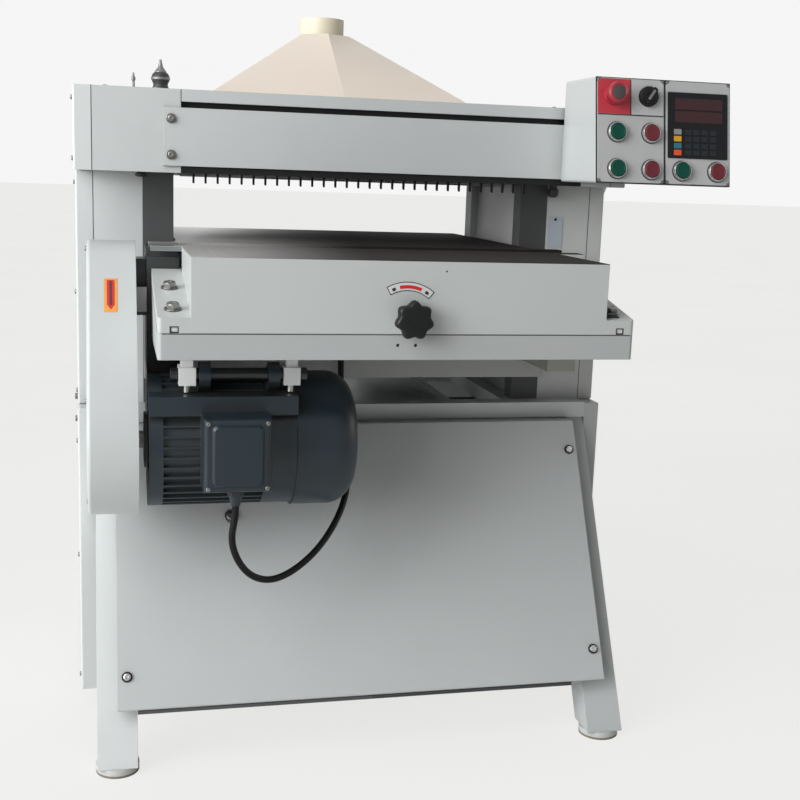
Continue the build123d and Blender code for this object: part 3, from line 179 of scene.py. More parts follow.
def groundTopCasting(name, colours, paintEnds):
    material, add, coords, painted = startFinish(
        name, colours["paint"], colours["paintShade"], tableTop["patchMm"], 4.0)
    axes = add("SeparateXYZ", {0: coords}).outputs
    onTop = add("Math", {0: axes[2], 1: paintEnds}, operation="GREATER_THAN")
    lines = add("Mapping", {"Vector": coords, "Scale": [perMm(size) for size in tableTop["lineMm"]]})
    scratches = add("TexNoise", {"Vector": lines, "Scale": 1.0, "Detail": 3.0})
    streaks = add("MapRange", {0: scratches, 1: 0.3, 2: 0.75, 3: 0.94, 4: 1.06})
    across = add("VectorMath", {0: coords, 1: tableTop["sheenAcross"]}, operation="DOT_PRODUCT")
    # this mask rises towards the left of the top: it paints the top paler there, a painted reflection of the bright
    # surround, and makes it smoother
    rubbed = add("MapRange", {0: across, 1: tableTop["sheenFrom"], 2: tableTop["sheenTo"], 3: 1.0, 4: 0.0})
    sheenFaded = add("Math", {0: rubbed, 1: tableTop["sheenFade"]}, operation="POWER")
    wearAndSheen = add("Math", {0: sheenFaded, 1: streaks}, operation="MULTIPLY", use_clamp=True)
    ground = add("Mix", {"Factor": wearAndSheen, 6: colours["iron"], 7: colours["wornSheen"]})
    bare = add("Math", {0: axes[0], 1: tableTop["lipEnds"]}, operation="LESS_THAN")
    lipped = add("Mix", {"Factor": bare, 6: ground, 7: colours["lip"]})
    aboveLip = add("Math", {0: axes[2], 1: tableTop["lipLow"]}, operation="GREATER_THAN")
    lipEnd = add("Math", {0: bare, 1: aboveLip}, operation="MULTIPLY")
    sides = add("Mix", {"Factor": lipEnd, 6: painted, 7: colours["lipEdge"]})
    colour = add("Mix", {"Factor": onTop, 6: sides, 7: lipped})
    metal = add("Math", {0: wearAndSheen, 1: onTop}, operation="MULTIPLY")
    polish = add("MapRange", {0: rubbed, 3: tableTop["dull"], 4: tableTop["polished"]})
    gloss = add("MapRange", {0: onTop, 3: tableTop["paintGloss"], 4: polish})
    soft = add("Bevel", {"Radius": 1.0 * mm}, samples=4)
    bump = add("Bump", {"Strength": 0.05, "Distance": 0.1 * mm, "Height": scratches, "Normal": soft})
    shader = add("BsdfPrincipled", {
        "Base Color": colour, "Roughness": gloss, "Metallic": metal, "Specular IOR Level": 0.25, "Normal": bump})
    add("OutputMaterial", {"Surface": shader})
    return material


# hinge: white enamelled blocks on a dark steel rod, with bright set screws below
hinge = {"rod": (0, -0.5, 0.667), "rodReach": 0.0112, "screwTop": 0.6528, "patchMm": 40, "gloss": 0.38}


def hingeFinish(name):
    material, add, coords, enamel = startFinish(name, "#dcdedd", "#cfd2d1", hinge["patchMm"])
    axes = add("SeparateXYZ", {0: coords}).outputs
    across = add("CombineXYZ", {1: axes[1], 2: axes[2]})
    away = add("VectorMath", {0: across, 1: hinge["rod"]}, operation="DISTANCE")
    onRod = add("Math", {0: away, 1: hinge["rodReach"]}, operation="LESS_THAN")
    onScrew = add("Math", {0: axes[2], 1: hinge["screwTop"]}, operation="LESS_THAN")
    rod = add("Mix", {"Factor": onRod, 6: enamel, 7: "#4b4d4e"})
    colour = add("Mix", {"Factor": onScrew, 6: rod, 7: "#b9bab6"})
    metal = add("Math", {0: onRod, 1: onScrew}, operation="MAXIMUM")
    soft = add("Bevel", {"Radius": enamelLook["edgeMm"] * mm}, samples=4)
    shader = add("BsdfPrincipled", {
        "Base Color": colour, "Roughness": hinge["gloss"], "Metallic": metal, "Normal": soft})
    add("OutputMaterial", {"Surface": shader})
    return material


# a zone is (axis, place in metres, colour beyond it)
greyEnamel = sprayedEnamel("light grey enamel, sprayed", "#c7cbcb", "#c0c4c4", 0.36)
darkEnamel = sprayedEnamel("dark grey enamel, brushed on castings", "#525555", "#464849", 0.5, peelMm=7, grimeAndShade=0.5,
                           zones=((0, 0.0, "#3c3f40"), (1, 0.0, "#b8bcbc")))
motorEnamel = sprayedEnamel("blue black motor enamel, sprayed", "#1f2c35", "#19262e", 0.34, peelMm=6, grimeAndShade=0.4)
whiteEnamel = sprayedEnamel("white enamel, sprayed", "#dcdedd", "#d2d5d4", 0.4, grimeAndShade=0.3)
zincPlate = workedMetal("zinc plated steel", "#a2a39f", "#83847f", 0.3, 1.5, 2, grimeAndShade=0.9)
brightChrome = workedMetal("chrome plated brass", "#dcdcdc", "#d0d0d0", 0.1, 2.0, 2)
blackSteel = workedMetal("blackened steel", "#2c2d2e", "#222324", 0.45, 2.0, 2, metallic=0.7)
blackPhenolic = mouldedPlastic("black phenolic, moulded", "#0d0e10", "#121315", 0.42, ior=1.38)
blackAbs = mouldedPlastic("black ABS, moulded", "#101215", "#14161a", 0.45, ior=1.36)
greenCap = mouldedPlastic("green ABS, moulded", "#00473a", "#004134", 0.42, ior=1.36)
redCap = mouldedPlastic("dark red ABS, moulded", "#6d2e35", "#652a31", 0.42, ior=1.36)
redStop = mouldedPlastic("red ABS, moulded", "#a52c39", "#9b2935", 0.36)
greyInsert = mouldedPlastic("grey ABS insert, moulded", "#4b4546", "#434041", 0.45)
redSheet = mouldedPlastic("red printed sheet", "#c23f4a", "#b93b46", 0.4, grainMm=6)
greySheet = mouldedPlastic("pale grey printed sheet", "#c2c3c3", "#bbbcbc", 0.42, grainMm=6)
cableJacket = mouldedPlastic("black PVC, extruded", "#070708", "#0b0b0c", 0.5, grainMm=6, ior=1.33)
darkGasket = mouldedPlastic("black sealing strip, extruded", "#26282a", "#2c2e30", 0.6)
print("shared materials made")

# each CAD node takes the finish of its real material
finishes = {
    """base_top_frame base_front_panel base_rear_panel head_blocks head_beams head_front_panel head_sheet_covers
        chip_tray lower_belt_guard upper_belt_guard control_box""": greyEnamel,
    # the right legs (x > 0) take a darker copy of the enamel: painted shade
    "base_legs": sprayedEnamel("light grey enamel on legs, sprayed", "#dbdfdf", "#d5d9d9", 0.36,
                               zones=((0, 0.0, "#c4c8c8"),)),
    # columns and side covers: a lighter copy of the grey enamel as painted light on the left, and a darker zone at x
    # > 0 as painted shade on the right
    "columns side_covers": sprayedEnamel("light grey enamel on columns and covers, sprayed", "#d3d7d7", "#cdd1d1",
                                         0.36, zones=((0, 0.0, "#babcbb"),)),
    "infeed_knee": sprayedEnamel("light grey enamel on castings, sprayed", "#b3b6b6", "#acb0b0", 0.4, peelMm=7),
    "saddle": sprayedEnamel("mid grey enamel on castings, sprayed", "#a5a7a5", "#9ea09f", 0.45, peelMm=7),
    "dust_hood": sprayedEnamel("beige enamel, sprayed", "#f2e6d9", "#e9dccd", 0.5, grimeAndShade=0.2,
                               zones=((2, 1.2542, "#e9e2ca"),)),
    "column_guides": darkEnamel,
    "cutter_arms": sprayedEnamel("blue black enamel, brushed on castings", "#bcc0c0", "#b4b8b8", 0.5, peelMm=7,
                                 grimeAndShade=0.5, zones=((0, -0.3722, "#282f32"), (0, 0.0, "#96958f"))),
    "lower_motor upper_motor terminal_box lift_drive feed_drive": motorEnamel,
    "control_faceplates": sprayedEnamel("mid grey panel enamel, sprayed", "#bcbdbd", "#b6b7b8", 0.45, peelMm=3,
                                        grimeAndShade=0.25),
    "foot_pads": sprayedEnamel("grey enamel, rubbed to rust at the floor", "#94897c", "#82776b", 0.5, peelMm=4,
                               zones=((2, 0.004, "#d3d6d3"),)),
    "upper_cutterhead lower_cutterhead": workedMetal("ground steel", "#c4c5c3", "#b2b3b1", 0.28, 1.5, 0),
    """upper_motor_shaft lower_motor_shaft left_lift_screw right_lift_screw head_bearings carriage_bearings
        lift_screw_bearings""": workedMetal("turned steel", "#a9aaa8", "#949593", 0.38, 1.2, 0, metallic=0.7),
    "infeed_roller outfeed_roller": workedMetal("ground roller steel", "#cfd0ce", "#bebfbd", 0.45, 1.2, 0,
                                                metallic=0.45),
    "frame_bolts lock_bolts": zincPlate, "button_bezels": brightChrome,
    "head_dark_rails anti_kickback_fingers": blackSteel, "display_unit": blackAbs,
    "head_fittings depth_knob feed_speed_knob": blackPhenolic, "emergency_stop": redStop,
    "upper_cutter_start_button lower_cutter_start_button feed_start_button": greenCap,
    "upper_cutter_stop_button lower_cutter_stop_button feed_stop_button": redCap, "motor_cable": cableJacket,
    "upper_belt lower_belt": mouldedPlastic("black rubber, moulded", "#141414", "#1a1a1a", 0.75, grainMm=4),
    "motor_hinge": hingeFinish("white enamel blocks on a ground steel rod"),
    "infeed_table": groundTopCasting("infeed casting, ground top and grey enamel sides", ironColours,
                                     tableTop["paintEnds"]),
    "bed_table": groundTopCasting("bed casting, ground top and grey enamel sides", bedColours,
                                  tableTop["paintEnds"]),
    "bed_lip": groundTopCasting("lip of ground cast iron", bedColours, tableTop["lipBottom"]),
}
for names, finish in finishes.items():
    for name in names.split():
        nodes[name].data.materials.clear()
        nodes[name].data.materials.append(finish)
print("CAD nodes finished")


# smooth faces, a body to ride on, and the replaced CAD node hidden
def finishPiece(piece, body, slot=None, replaces=None, sharpDegrees=35):
    for face in piece.data.polygons:
        face.use_smooth = True
    piece.data.set_sharp_from_angle(angle=math.radians(sharpDegrees))
    if body:
        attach(piece, body)
    if replaces:
        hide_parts(replaces)
    return piece


def finishMesh(name, shape, material, body, **labels):
    mesh = bpy.data.meshes.new(name)
    bmesh.ops.remove_doubles(shape, verts=shape.verts, dist=1e-6)
    bmesh.ops.recalc_face_normals(shape, faces=shape.faces)
    shape.to_mesh(mesh)
    shape.free()
    mesh.materials.append(material)
    return finishPiece(addObject(name, mesh), body, **labels)


def facing(place, direction):
    spin = Vector((0, 0, 1)).rotation_difference(Vector(direction)).to_matrix().to_4x4()
    return Matrix.Translation(place) @ spin


def addRing(shape, place, points):
    return [shape.verts.new(place @ Vector([value * mm for value in point])) for point in points]


# walls from each ring to the next, where a ring of one point is a tip
def joinRings(shape, rings, closed=False):
    for low, high in zip(rings, rings[1:] + rings[:1] if closed else rings[1:]):
        count = max(len(low), len(high))
        for step in range(count):
            after = (step + 1) % count
            corners = [low[step % len(low)], low[after % len(low)], high[after % len(high)], high[step % len(high)]]
            shape.faces.new(list(dict.fromkeys(corners)))


# turned shapes: a profile of (radius, height) in mm spun round its own axis
def spinProfile(shape, profile, place, segments=40, closed=False):
    turns = [2 * math.pi * step / segments for step in range(segments)]
    rings = [addRing(shape, place, [(radius * math.cos(turn), radius * math.sin(turn), height)
                                    for turn in (turns if radius else (0,))]) for radius, height in profile]
    joinRings(shape, rings, closed)
    return rings


# flat plates: an outline in mm on a plane, with a thickness and sometimes another outline on top
def addPlate(shape, outline, place, low, high, topOutline=None):
    bottom = addRing(shape, place, [(x, y, low) for x, y in outline])
    top = addRing(shape, place, [(x, y, high) for x, y in topOutline or outline])
    shape.faces.new(top)
    shape.faces.new(bottom[::-1])
    joinRings(shape, [bottom, top])


def box2d(x0, x1, y0, y1):
    return [(x0, y0), (x1, y0), (x1, y1), (x0, y1)]


# four strips round a rectangle
def frameBoxes(x0, x1, y0, y1, wall, topWall=None):
    top = y1 - (topWall or wall)
    return [box2d(x0, x1, y0, y0 + wall), box2d(x0, x1, top, y1),
            box2d(x0, x0 + wall, y0 + wall, top), box2d(x1 - wall, x1, y0 + wall, top)]


def roundedBox(x0, x1, y0, y1, radius, steps=4):
    points = []
    for cx, cy, start in ((x1 - radius, y0 + radius, -90), (x1 - radius, y1 - radius, 0),
                          (x0 + radius, y1 - radius, 90), (x0 + radius, y0 + radius, 180)):
        for step in range(steps + 1):
            angle = math.radians(start + 90 * step / steps)
            points.append((cx + radius * math.cos(angle), cy + radius * math.sin(angle)))
    return points


def platePiece(name, outlines, place, low, high, material, body, **labels):
    shape = bmesh.new()
    for outline in outlines:
        addPlate(shape, outline, place, low, high)
    return finishMesh(name, shape, material, body, **labels)


def turnedPiece(name, profile, places, material, body, segments=40, closed=False, **labels):
    shape = bmesh.new()
    for place in places:
        spinProfile(shape, profile, place, segments, closed)
    return finishMesh(name, shape, material, body, **labels)


# planes that carry trim: across, up and out of the surface
def planeAt(origin, up, out):
    up = Vector(up).normalized()
    out = Vector(out).normalized()
    return Matrix.Translation(Vector(origin)) @ Matrix([up.cross(out), up, out]).transposed().to_4x4()


def frontPlane(y):
    return planeAt((0, y, 0), (0, 0, 1), (0, -1, 0))


panelPlane = planeAt((0.3595, -0.443, 0.979), (0, 29, 174.4), (0, -174.4, 29))
tableFront = frontPlane(-0.624)
noMove = Matrix.Identity(4)


# every tree takes points and a finish, and gives one plain mesh
def startTree(name, sizes):
    tree = bpy.data.node_groups.new(name, "GeometryNodeTree")
    for label, kind in {"Points": "Geometry", **sizes, "Finish": "Material"}.items():
        tree.interface.new_socket(label, in_out="INPUT", socket_type="NodeSocket" + kind)
    tree.interface.new_socket("Mesh", in_out="OUTPUT", socket_type="NodeSocketGeometry")
    add = partial(addNode, tree)
    return tree, add, add("NodeGroupInput").outputs


def endTree(add, given, instances):
    real = add("GeometryNodeRealizeInstances", {"Geometry": instances})
    coloured = add("GeometryNodeSetMaterial", {"Geometry": real, "Material": given["Finish"]})
    add("NodeGroupOutput", {"Mesh": coloured})


def runTree(name, tree, values, body, points=(), **labels):
    mesh = bpy.data.meshes.new(name)
    mesh.from_pydata(points, [], [])
    holder = addObject(name, mesh)
    modifier = holder.modifiers.new("tree", "NODES")
    modifier.node_group = tree
    for item in tree.interface.items_tree:
        if item.in_out == "INPUT" and item.name in values:
            modifier[item.identifier] = values[item.name]
    graph = bpy.context.evaluated_depsgraph_get()
    result = bpy.data.meshes.new_from_object(holder.evaluated_get(graph))
    holder.modifiers.clear()
    holder.data = result
    return finishPiece(holder, body, **labels)


# fasteners: one screw shape put on points by a node tree, each turned its own way
fastenerTree, add, given = startTree(
    "fastenersOnPoints", {"Shape": "Object", "Facing": "Vector", "Size": "Float", "Seed": "Int"})
template = add("GeometryNodeObjectInfo", {"Object": given["Shape"]}).outputs["Geometry"]
heading = add("FunctionNodeAlignRotationToVector", {"Vector": given["Facing"]}, axis="Z")
turned = add("FunctionNodeRandomValue", {2: 0.0, 3: 3.14, "Seed": given["Seed"]}, data_type="FLOAT")
spun = add("FunctionNodeAxisAngleToRotation", {"Axis": (0, 0, 1), "Angle": turned})
both = add("FunctionNodeRotateRotation", {"Rotation": heading, "Rotate By": spun}, rotation_space="LOCAL")
endTree(add, given, add("GeometryNodeInstanceOnPoints", {
    "Points": given["Points"], "Instance": template, "Rotation": both, "Scale": given["Size"]}))


# hexagon bolt on a washer
def boltTemplate(name, washer, thick, flats, head):
    shape = bmesh.new()
    spinProfile(shape, [(0, 0), (washer, 0), (washer, thick * 0.8), (washer - 0.5, thick), (0, thick)], noMove, 32)
    corner = flats / math.sqrt(3)
    hexagon = spinProfile(shape, [(corner, thick), (corner, thick + head * 0.8)], noMove, 6)
    shape.faces.new(hexagon[1])
    chamfer = [(0, 0.7), (flats / 2, 0.7), (flats / 2, 0.92), (flats / 2 - 0.6, 1), (flats * 0.2, 1),
               (flats * 0.17, 0.9), (0, 0.9)]
    spinProfile(shape, [(radius, thick + head * share) for radius, share in chamfer], noMove, 24)
    return finishMesh(name, shape, zincPlate, None)


boltSizes = {"washer": 8.0, "thick": 2.0, "flats": 10.4, "head": 4.5}
lockSizes = {"washer": 13.0, "thick": 2.0, "flats": 18.0, "head": 8.0}
# dark rings laid under the base panel bolts: painted shade round the heads
shadeRingProfile = [(6.1, 0), (8.6, 0), (8.6, 1.8), (8.2, 2.3), (6.1, 2.3)]
screwProfile = [(0, 0), (1.0, 0), (1.0, 0.35), (0.86, 0.6), (0.5, 0.75), (0.28, 0.78), (0.2, 0.4), (0, 0.4)]
perMetre = Matrix.Scale(1 / mm, 4)  # the pan head screw has a radius of 1 and is scaled where it is used
screwShape = turnedPiece("screwTemplate", screwProfile, [perMetre], zincPlate, None, 12)
shadeRingShape = turnedPiece("sealTemplate", shadeRingProfile, [noMove], blackSteel, None, 32, True)
boltShape = boltTemplate("boltTemplate", **boltSizes)
lockShape = boltTemplate("lockTemplate", **lockSizes)


def putFasteners(name, shape, points, direction, size, finish, body, seed, place=noMove, **labels):
    values = {"Shape": shape, "Facing": tuple(direction), "Size": size, "Seed": seed, "Finish": finish}
    return runTree(name, fastenerTree, values, body, [place @ (Vector(point) * mm) for point in points], **labels)


# control panel trim: a sealing strip with corner gussets, two printed sheets and corner screws
panelTrim = {
    "width": 245.2, "height": 176.8, "split": 123.5, "edge": 0.4, "strip": 2.2, "bar": 1.98, "stripHigh": 2.4,
    "gusset": 8.0, "base": 2.0, "plate": 4.0, "sheet": 0.5, "cut": 6.0, "stopArea": (2.4, 60.5, 115.5, 173.5),
    "speedArea": (62.5, 120.5, 115.5, 173.5), "gaps": ((2.4, 120.5, 113.4, 115.0), (60.7, 62.3, 115.0, 173.5)),
    "inset": 5.0, "screw": 3.2,
}


def controlPanelTrim(width, height, split, edge, strip, bar, stripHigh, gusset, base, plate, sheet, cut, stopArea,
                     speedArea, gaps, inset, screw):
    shape = bmesh.new()
    strips = frameBoxes(edge, width - edge, edge, height - edge, strip - edge)
    for outline in strips + [box2d(split - bar, split + bar, strip, height - strip)]:
        addPlate(shape, outline, panelPlane, 0.0, stripHigh)
    for x, sx in ((strip, 1), (split, -1), (split, 1), (width - strip, -1)):
        for y, sy in ((strip, 1), (height - strip, -1)):
            corner = [(x, y), (x + gusset * sx, y), (x, y + gusset * sy)]
            addPlate(shape, corner[::sx * sy], panelPlane, 0.0, base)
    finishMesh("panelSealStrip", shape, darkGasket, "frame")
    top = plate + sheet
    x0, x1, y0, y1 = stopArea
    outline = [(x0, y0), (x1, y0), (x1, y1), (x0 + cut, y1), (x0, y1 - cut)]
    platePiece("stopSheet", [outline], panelPlane, plate, top, redSheet, "frame")
    x0, x1, y0, y1 = speedArea
    outline = [(x0, y0), (x1, y0), (x1, y1 - cut), (x1 - cut, y1), (x0, y1)]
    platePiece("speedSheet", [outline], panelPlane, plate, top, greySheet, "frame")
    platePiece("sheetGap", [box2d(*gap) for gap in gaps], panelPlane, plate, top, darkGasket, "frame")
    points = [(x, y, base) for x in (inset, split - inset, split + inset, width - inset)
              for y in (inset, height - inset)]
    putFasteners("panelScrews", screwShape, points, panelPlane.col[2].to_3d(), screw * mm, zincPlate, "frame", 3,
                 panelPlane)
    print("control panel trimmed")


controlPanelTrim(**panelTrim)

# push buttons: domed caps in chrome rings
buttons = {
    "places": {
        "upper_cutter_start_button": (36.6, 85.4), "upper_cutter_stop_button": (97.9, 85.4),
        "lower_cutter_start_button": (36.6, 24.3), "lower_cutter_stop_button": (97.9, 24.3),
        "feed_start_button": (154.3, 24.3), "feed_stop_button": (219.0, 24.3)},
    "cap": [(0, -8), (11.8, -8), (11.8, 3.6), (13.2, 3.8), (13.2, 12.4), (12.8, 13.4), (12, 13.9), (11, 14.0),
            (10.4, 13.5), (5.6, 13.2), (0, 13.1)],
    "ring": [(13.5, 4), (16.5, 4), (16.5, 7.6), (16, 9.6), (15.3, 10.8), (14.6, 11), (13.8, 10.6), (13.5, 9.8)],
    "gasket": [(16.6, 4), (17.6, 4), (17.6, 5.0), (17.2, 5.4), (16.6, 5.4)], "segments": 48,
}
# emergency stop: a red mushroom with a grey insert
stopButton = {
    "place": (30.0, 146.0), "insert": [(0, 28.8), (11.5, 28.8), (11.5, 29.6), (10.8, 30), (0, 30)],
    "mushroom": [(0, -8), (12, -8), (12, 16), (13.5, 18), (16.8, 18.4), (18, 20), (18, 24), (17, 27.5), (14.2, 29.6),
                 (12.8, 30), (12.1, 29.2), (11.7, 29.2), (0, 29.2)],
}
# speed dial: a round base with a grip bar and a bright inlay
dial = {
    "place": (92.4, 146.0), "turned": -35,
    "base": [(0, -8), (4, -8), (4, 4.3), (17, 4.3), (17, 10), (16.2, 12), (14.5, 13), (0, 13.2)],
    "grip": (-4.6, 4.6, -14, 14, 3), "gripHigh": (12.8, 21.5), "inlay": (-2.2, 2.2, -10, 10, 1.8),
    "inlayHigh": (21.4, 22.0),
}


def panelSpot(spot):
    return panelPlane @ Matrix.Translation((spot[0] * mm, spot[1] * mm, 0))


def pushButtons(places, cap, ring, gasket, segments):
    for name, spot in places.items():
        finish, slot = (greenCap, "green_plastic") if "start" in name else (redCap, "red_plastic")
        turnedPiece(name + "_cap", cap, [panelSpot(spot)], finish, name, segments, slot=slot, replaces=name)
    spots = [panelSpot(spot) for spot in places.values()]
    turnedPiece("buttonRings", ring, spots, brightChrome, "frame", segments, True, slot="chrome_trim",
                replaces="button_bezels")
    turnedPiece(
        "stopCollar", ring, [panelSpot(stopButton["place"])], redStop, "frame", segments, True, slot="red_plastic")
    turnedPiece("buttonGaskets", gasket, spots, darkGasket, "frame", segments, True, slot="black_plastic")
    print("push buttons made")


def stopAndSpeed():
    spot = panelSpot(stopButton["place"])
    turnedPiece("stopMushroom", stopButton["mushroom"], [spot], redStop, "emergency_stop", 56, slot="red_plastic",
                replaces="emergency_stop")
    turnedPiece("stopInsert", stopButton["insert"], [spot], greyInsert, "emergency_stop", slot="black_plastic")
    spot = panelSpot(dial["place"])
    grip = spot @ Matrix.Rotation(math.radians(dial["turned"]), 4, "Z")
    shape = bmesh.new()
    spinProfile(shape, dial["base"], spot, 56)
    addPlate(shape, roundedBox(*dial["grip"]), grip, *dial["gripHigh"])
    finishMesh(
        "speedDial", shape, blackPhenolic, "feed_speed_knob", slot="black_plastic", replaces="feed_speed_knob")
    platePiece("speedInlay", [roundedBox(*dial["inlay"])], grip, *dial["inlayHigh"], zincPlate, "feed_speed_knob",
               slot="zinc_plate")
    print("stop button and speed dial made")


pushButtons(**buttons)
stopAndSpeed()

# read-out: two red windows over a block of keys on a node tree, with a row of printed keys beside it
readout = {
    "body": (128.6, 238.6, 45.5, 156.3), "face": 5.4, "corner": 1.5, "proud": 0.4,
    "windows": ((141, 229, 127.5, 146.5), (141, 229, 106, 125)), "keyLeft": 165.5, "keyBottom": 55.0,
    "pitchX": 15.2, "pitchY": 11.6, "columns": 4, "rows": 4, "key": (11.5, 8.4, 0.8), "keyMiddle": 0.3,
    "sideKeys": (("#e4572e", 55), ("#2f6f86", 66.6), ("#d9a028", 78.2), ("#8d8f93", 89.8)),
    "sideKeyX": (139.5, 153), "sideKeyHalf": 4.6, "sideKeyCorner": 1.2, "sideKeyProud": 0.7,
}
windowRed = mouldedPlastic("dark red acrylic window", "#3c1a1e", "#35181b", 0.25, grainMm=8)
keyGrey = mouldedPlastic("dark grey silicone key", "#272b30", "#23272b", 0.5, ior=1.36)
keyTree, add, given = startTree(
    "keyBlock", {"Columns": "Int", "Rows": "Int", "Pitch X": "Float", "Pitch Y": "Float", "Key": "Vector"})
spans = {}
for count, pitch in (("Columns", "Pitch X"), ("Rows", "Pitch Y")):
    steps = add("Math", {0: given[count], 1: 1.0}, operation="SUBTRACT")
    spans[count] = add("Math", {0: steps, 1: given[pitch]}, operation="MULTIPLY")
grid = add("GeometryNodeMeshGrid", {
    "Size X": spans["Columns"], "Size Y": spans["Rows"], "Vertices X": given["Columns"], "Vertices Y": given["Rows"]})
keyShape = add("GeometryNodeMeshCube", {"Size": given["Key"]})
endTree(add, given, add("GeometryNodeInstanceOnPoints", {"Points": grid, "Instance": keyShape}))


def readoutTrim():
    face, corner = readout["face"], readout["corner"]
    platePiece("readoutBody", [roundedBox(*readout["body"], corner)], panelPlane, panelTrim["plate"], face, blackAbs,
               "frame", slot="black_plastic", replaces="display_unit")
    for index, window in enumerate(readout["windows"]):
        platePiece("readoutWindow" + str(index), [roundedBox(*window, corner)], panelPlane, face,
                   face + readout["proud"], windowRed, "frame")
    columns, rows, pitchX, pitchY = (readout[key] for key in ("columns", "rows", "pitchX", "pitchY"))
    values = {"Columns": columns, "Rows": rows, "Pitch X": pitchX * mm, "Pitch Y": pitchY * mm,
              "Key": [size * mm for size in readout["key"]], "Finish": keyGrey}
    keys = runTree("keys", keyTree, values, "frame")
    middle = (readout["keyLeft"] + pitchX * (columns - 1) / 2, readout["keyBottom"] + pitchY * (rows - 1) / 2,
              face + readout["keyMiddle"])
    keys.data.transform(panelPlane @ Matrix.Translation([value * mm for value in middle]))
    half = readout["sideKeyHalf"]
    for index, (colour, y) in enumerate(readout["sideKeys"]):
        film = mouldedPlastic("printed key film " + str(index), colour, colour, 0.45)
        outline = roundedBox(*readout["sideKeyX"], y - half, y + half, readout["sideKeyCorner"])
        platePiece("sideKey" + str(index), [outline], panelPlane, face, face + readout["sideKeyProud"], film, "frame")
    print("read-out made")


readoutTrim()

# depth knob: round lobes on a hub, one straight up, in layers of (share of the radius, height)
knobSettings = {
    "centre": (6.0, -624.3, 771.0), "middle": 27.0, "swell": 2.5, "lobes": 7, "segments": 168,
    "hub": [(0, 0), (13.5, 0), (13.5, 8), (11.5, 10.5), (0, 10.5)],
    "layers": [(0.0, 10.0), (0.8, 10.0), (0.94, 11.2), (0.985, 13.0), (1.0, 15.5), (1.0, 23.0), (0.985, 25.6),
               (0.94, 27.8), (0.86, 29.2), (0.72, 29.9), (0.3, 30.2), (0.26, 30.0), (0.22, 30.2), (0.0, 30.3)],
}


def depthKnob(centre, middle, swell, lobes, segments, hub, layers):
    shape = bmesh.new()
    place = facing(Vector(centre) * mm, (0, -1, 0))
    spinProfile(shape, hub, place)
    turns = [2 * math.pi * step / segments for step in range(segments)]
    rings = []
    for share, height in layers:
        reaches = [(turn, share * (middle + swell * math.cos(lobes * turn) * share ** 3)) for turn in turns]
        points = [(reach * math.sin(turn), reach * math.cos(turn), height) for turn, reach in reaches]
        rings.append(addRing(shape, place, points if share else points[:1]))
    joinRings(shape, rings)
    finishMesh("starKnob", shape, blackPhenolic, "depth_knob", slot="black_plastic", replaces="depth_knob",
               sharpDegrees=50)
    print("depth knob made")


depthKnob(**knobSettings)

# depth scale: a curved plate with a red band and an end mark each side
scale = {"x": -1.2, "centreZ": 762.3, "inner": 51.4, "outer": 62.5, "half": 34.2, "tilt": -5.2, "line": 1.2,
         "band": (53.8, 58.8, 17.2), "mark": (53.8, 58.2, 24.0, 29.6), "dot": (58.3, 842.0, 1.3),
         "edgeHigh": 0.5, "plateHigh": 0.7, "printHigh": 0.9, "steps": 24}
scaleWhite = mouldedPlastic("pale printed plate", "#d9dada", "#d0d2d2", 0.4, grainMm=6)
scaleBlack = mouldedPlastic("black print", "#232527", "#1d1f21", 0.5, grainMm=6)
scaleRed = mouldedPlastic("red print", "#d2281f", "#c8251d", 0.45, grainMm=6)


def addBand(shape, inner, outer, startDegrees, endDegrees, high):
    sections = []
    for step in range(scale["steps"] + 1):
        along = startDegrees + (endDegrees - startDegrees) * step / scale["steps"]
        angle = math.radians(along + scale["tilt"])
        sections.append(addRing(shape, tableFront, [
            (scale["x"] - radius * math.sin(angle), scale["centreZ"] + radius * math.cos(angle), height)
            for radius, height in ((inner, 0), (outer, 0), (outer, high), (inner, high))]))
    joinRings(shape, sections)
    shape.faces.new(sections[0])
    shape.faces.new(sections[-1])


def depthScale():
    half, line, inner, outer = (scale[key] for key in ("half", "line", "inner", "outer"))
    bandLow, bandHigh, bandHalf = scale["band"]
    markLow, markHigh, markFrom, markTo = scale["mark"]
    for name, finish, high, bands in (
            ("scaleEdge", scaleBlack, "edgeHigh", [(inner - line, outer + line, -half - line, half + line)]),
            ("scalePlate", scaleWhite, "plateHigh", [(inner, outer, -half, half)]),
            ("scaleBand", scaleRed, "printHigh", [(bandLow, bandHigh, -bandHalf, bandHalf)]),
            ("scaleMarks", scaleBlack, "printHigh", [(markLow, markHigh, -markTo, -markFrom),
                                                     (markLow, markHigh, markFrom, markTo)])):
        shape = bmesh.new()
        for band in bands:
            addBand(shape, *band, scale[high])
        finishMesh(name, shape, finish, "infeed")
    x, z, radius = scale["dot"]
    turnedPiece("tableDot", [(0, 0), (radius, 0), (radius * 0.8, 0.5), (0, 0.6)],
                [tableFront @ Matrix.Translation((x * mm, z * mm, 0))], scaleBlack, "infeed", 16)
    print("depth scale made")


depthScale()

# direction label on the belt guard: an arrow on an orange ground
labelSettings = {"x0": -438.6, "x1": -418.5, "tangent": (0, -377.3, 833.1), "up": (0, 0.5568, 0.8307),
                 "out": (0, -0.8307, 0.5568), "top": -34.5, "bottom": -94.0, "tip": 4.0, "half": 6.0, "head": 9.0,
                 "tail": 3.0, "line": 1.8, "layers": (0.1, 0.5, 0.7, 0.9)}
labelOrange = mouldedPlastic("orange printed film", "#f0a04a", "#e8963f", 0.45, grainMm=6)
labelRed = mouldedPlastic("red printed film", "#c8352f", "#be312b", 0.45, grainMm=6)
labelDark = mouldedPlastic("dark red printed film", "#5c2a3a", "#552636", 0.45, grainMm=6)


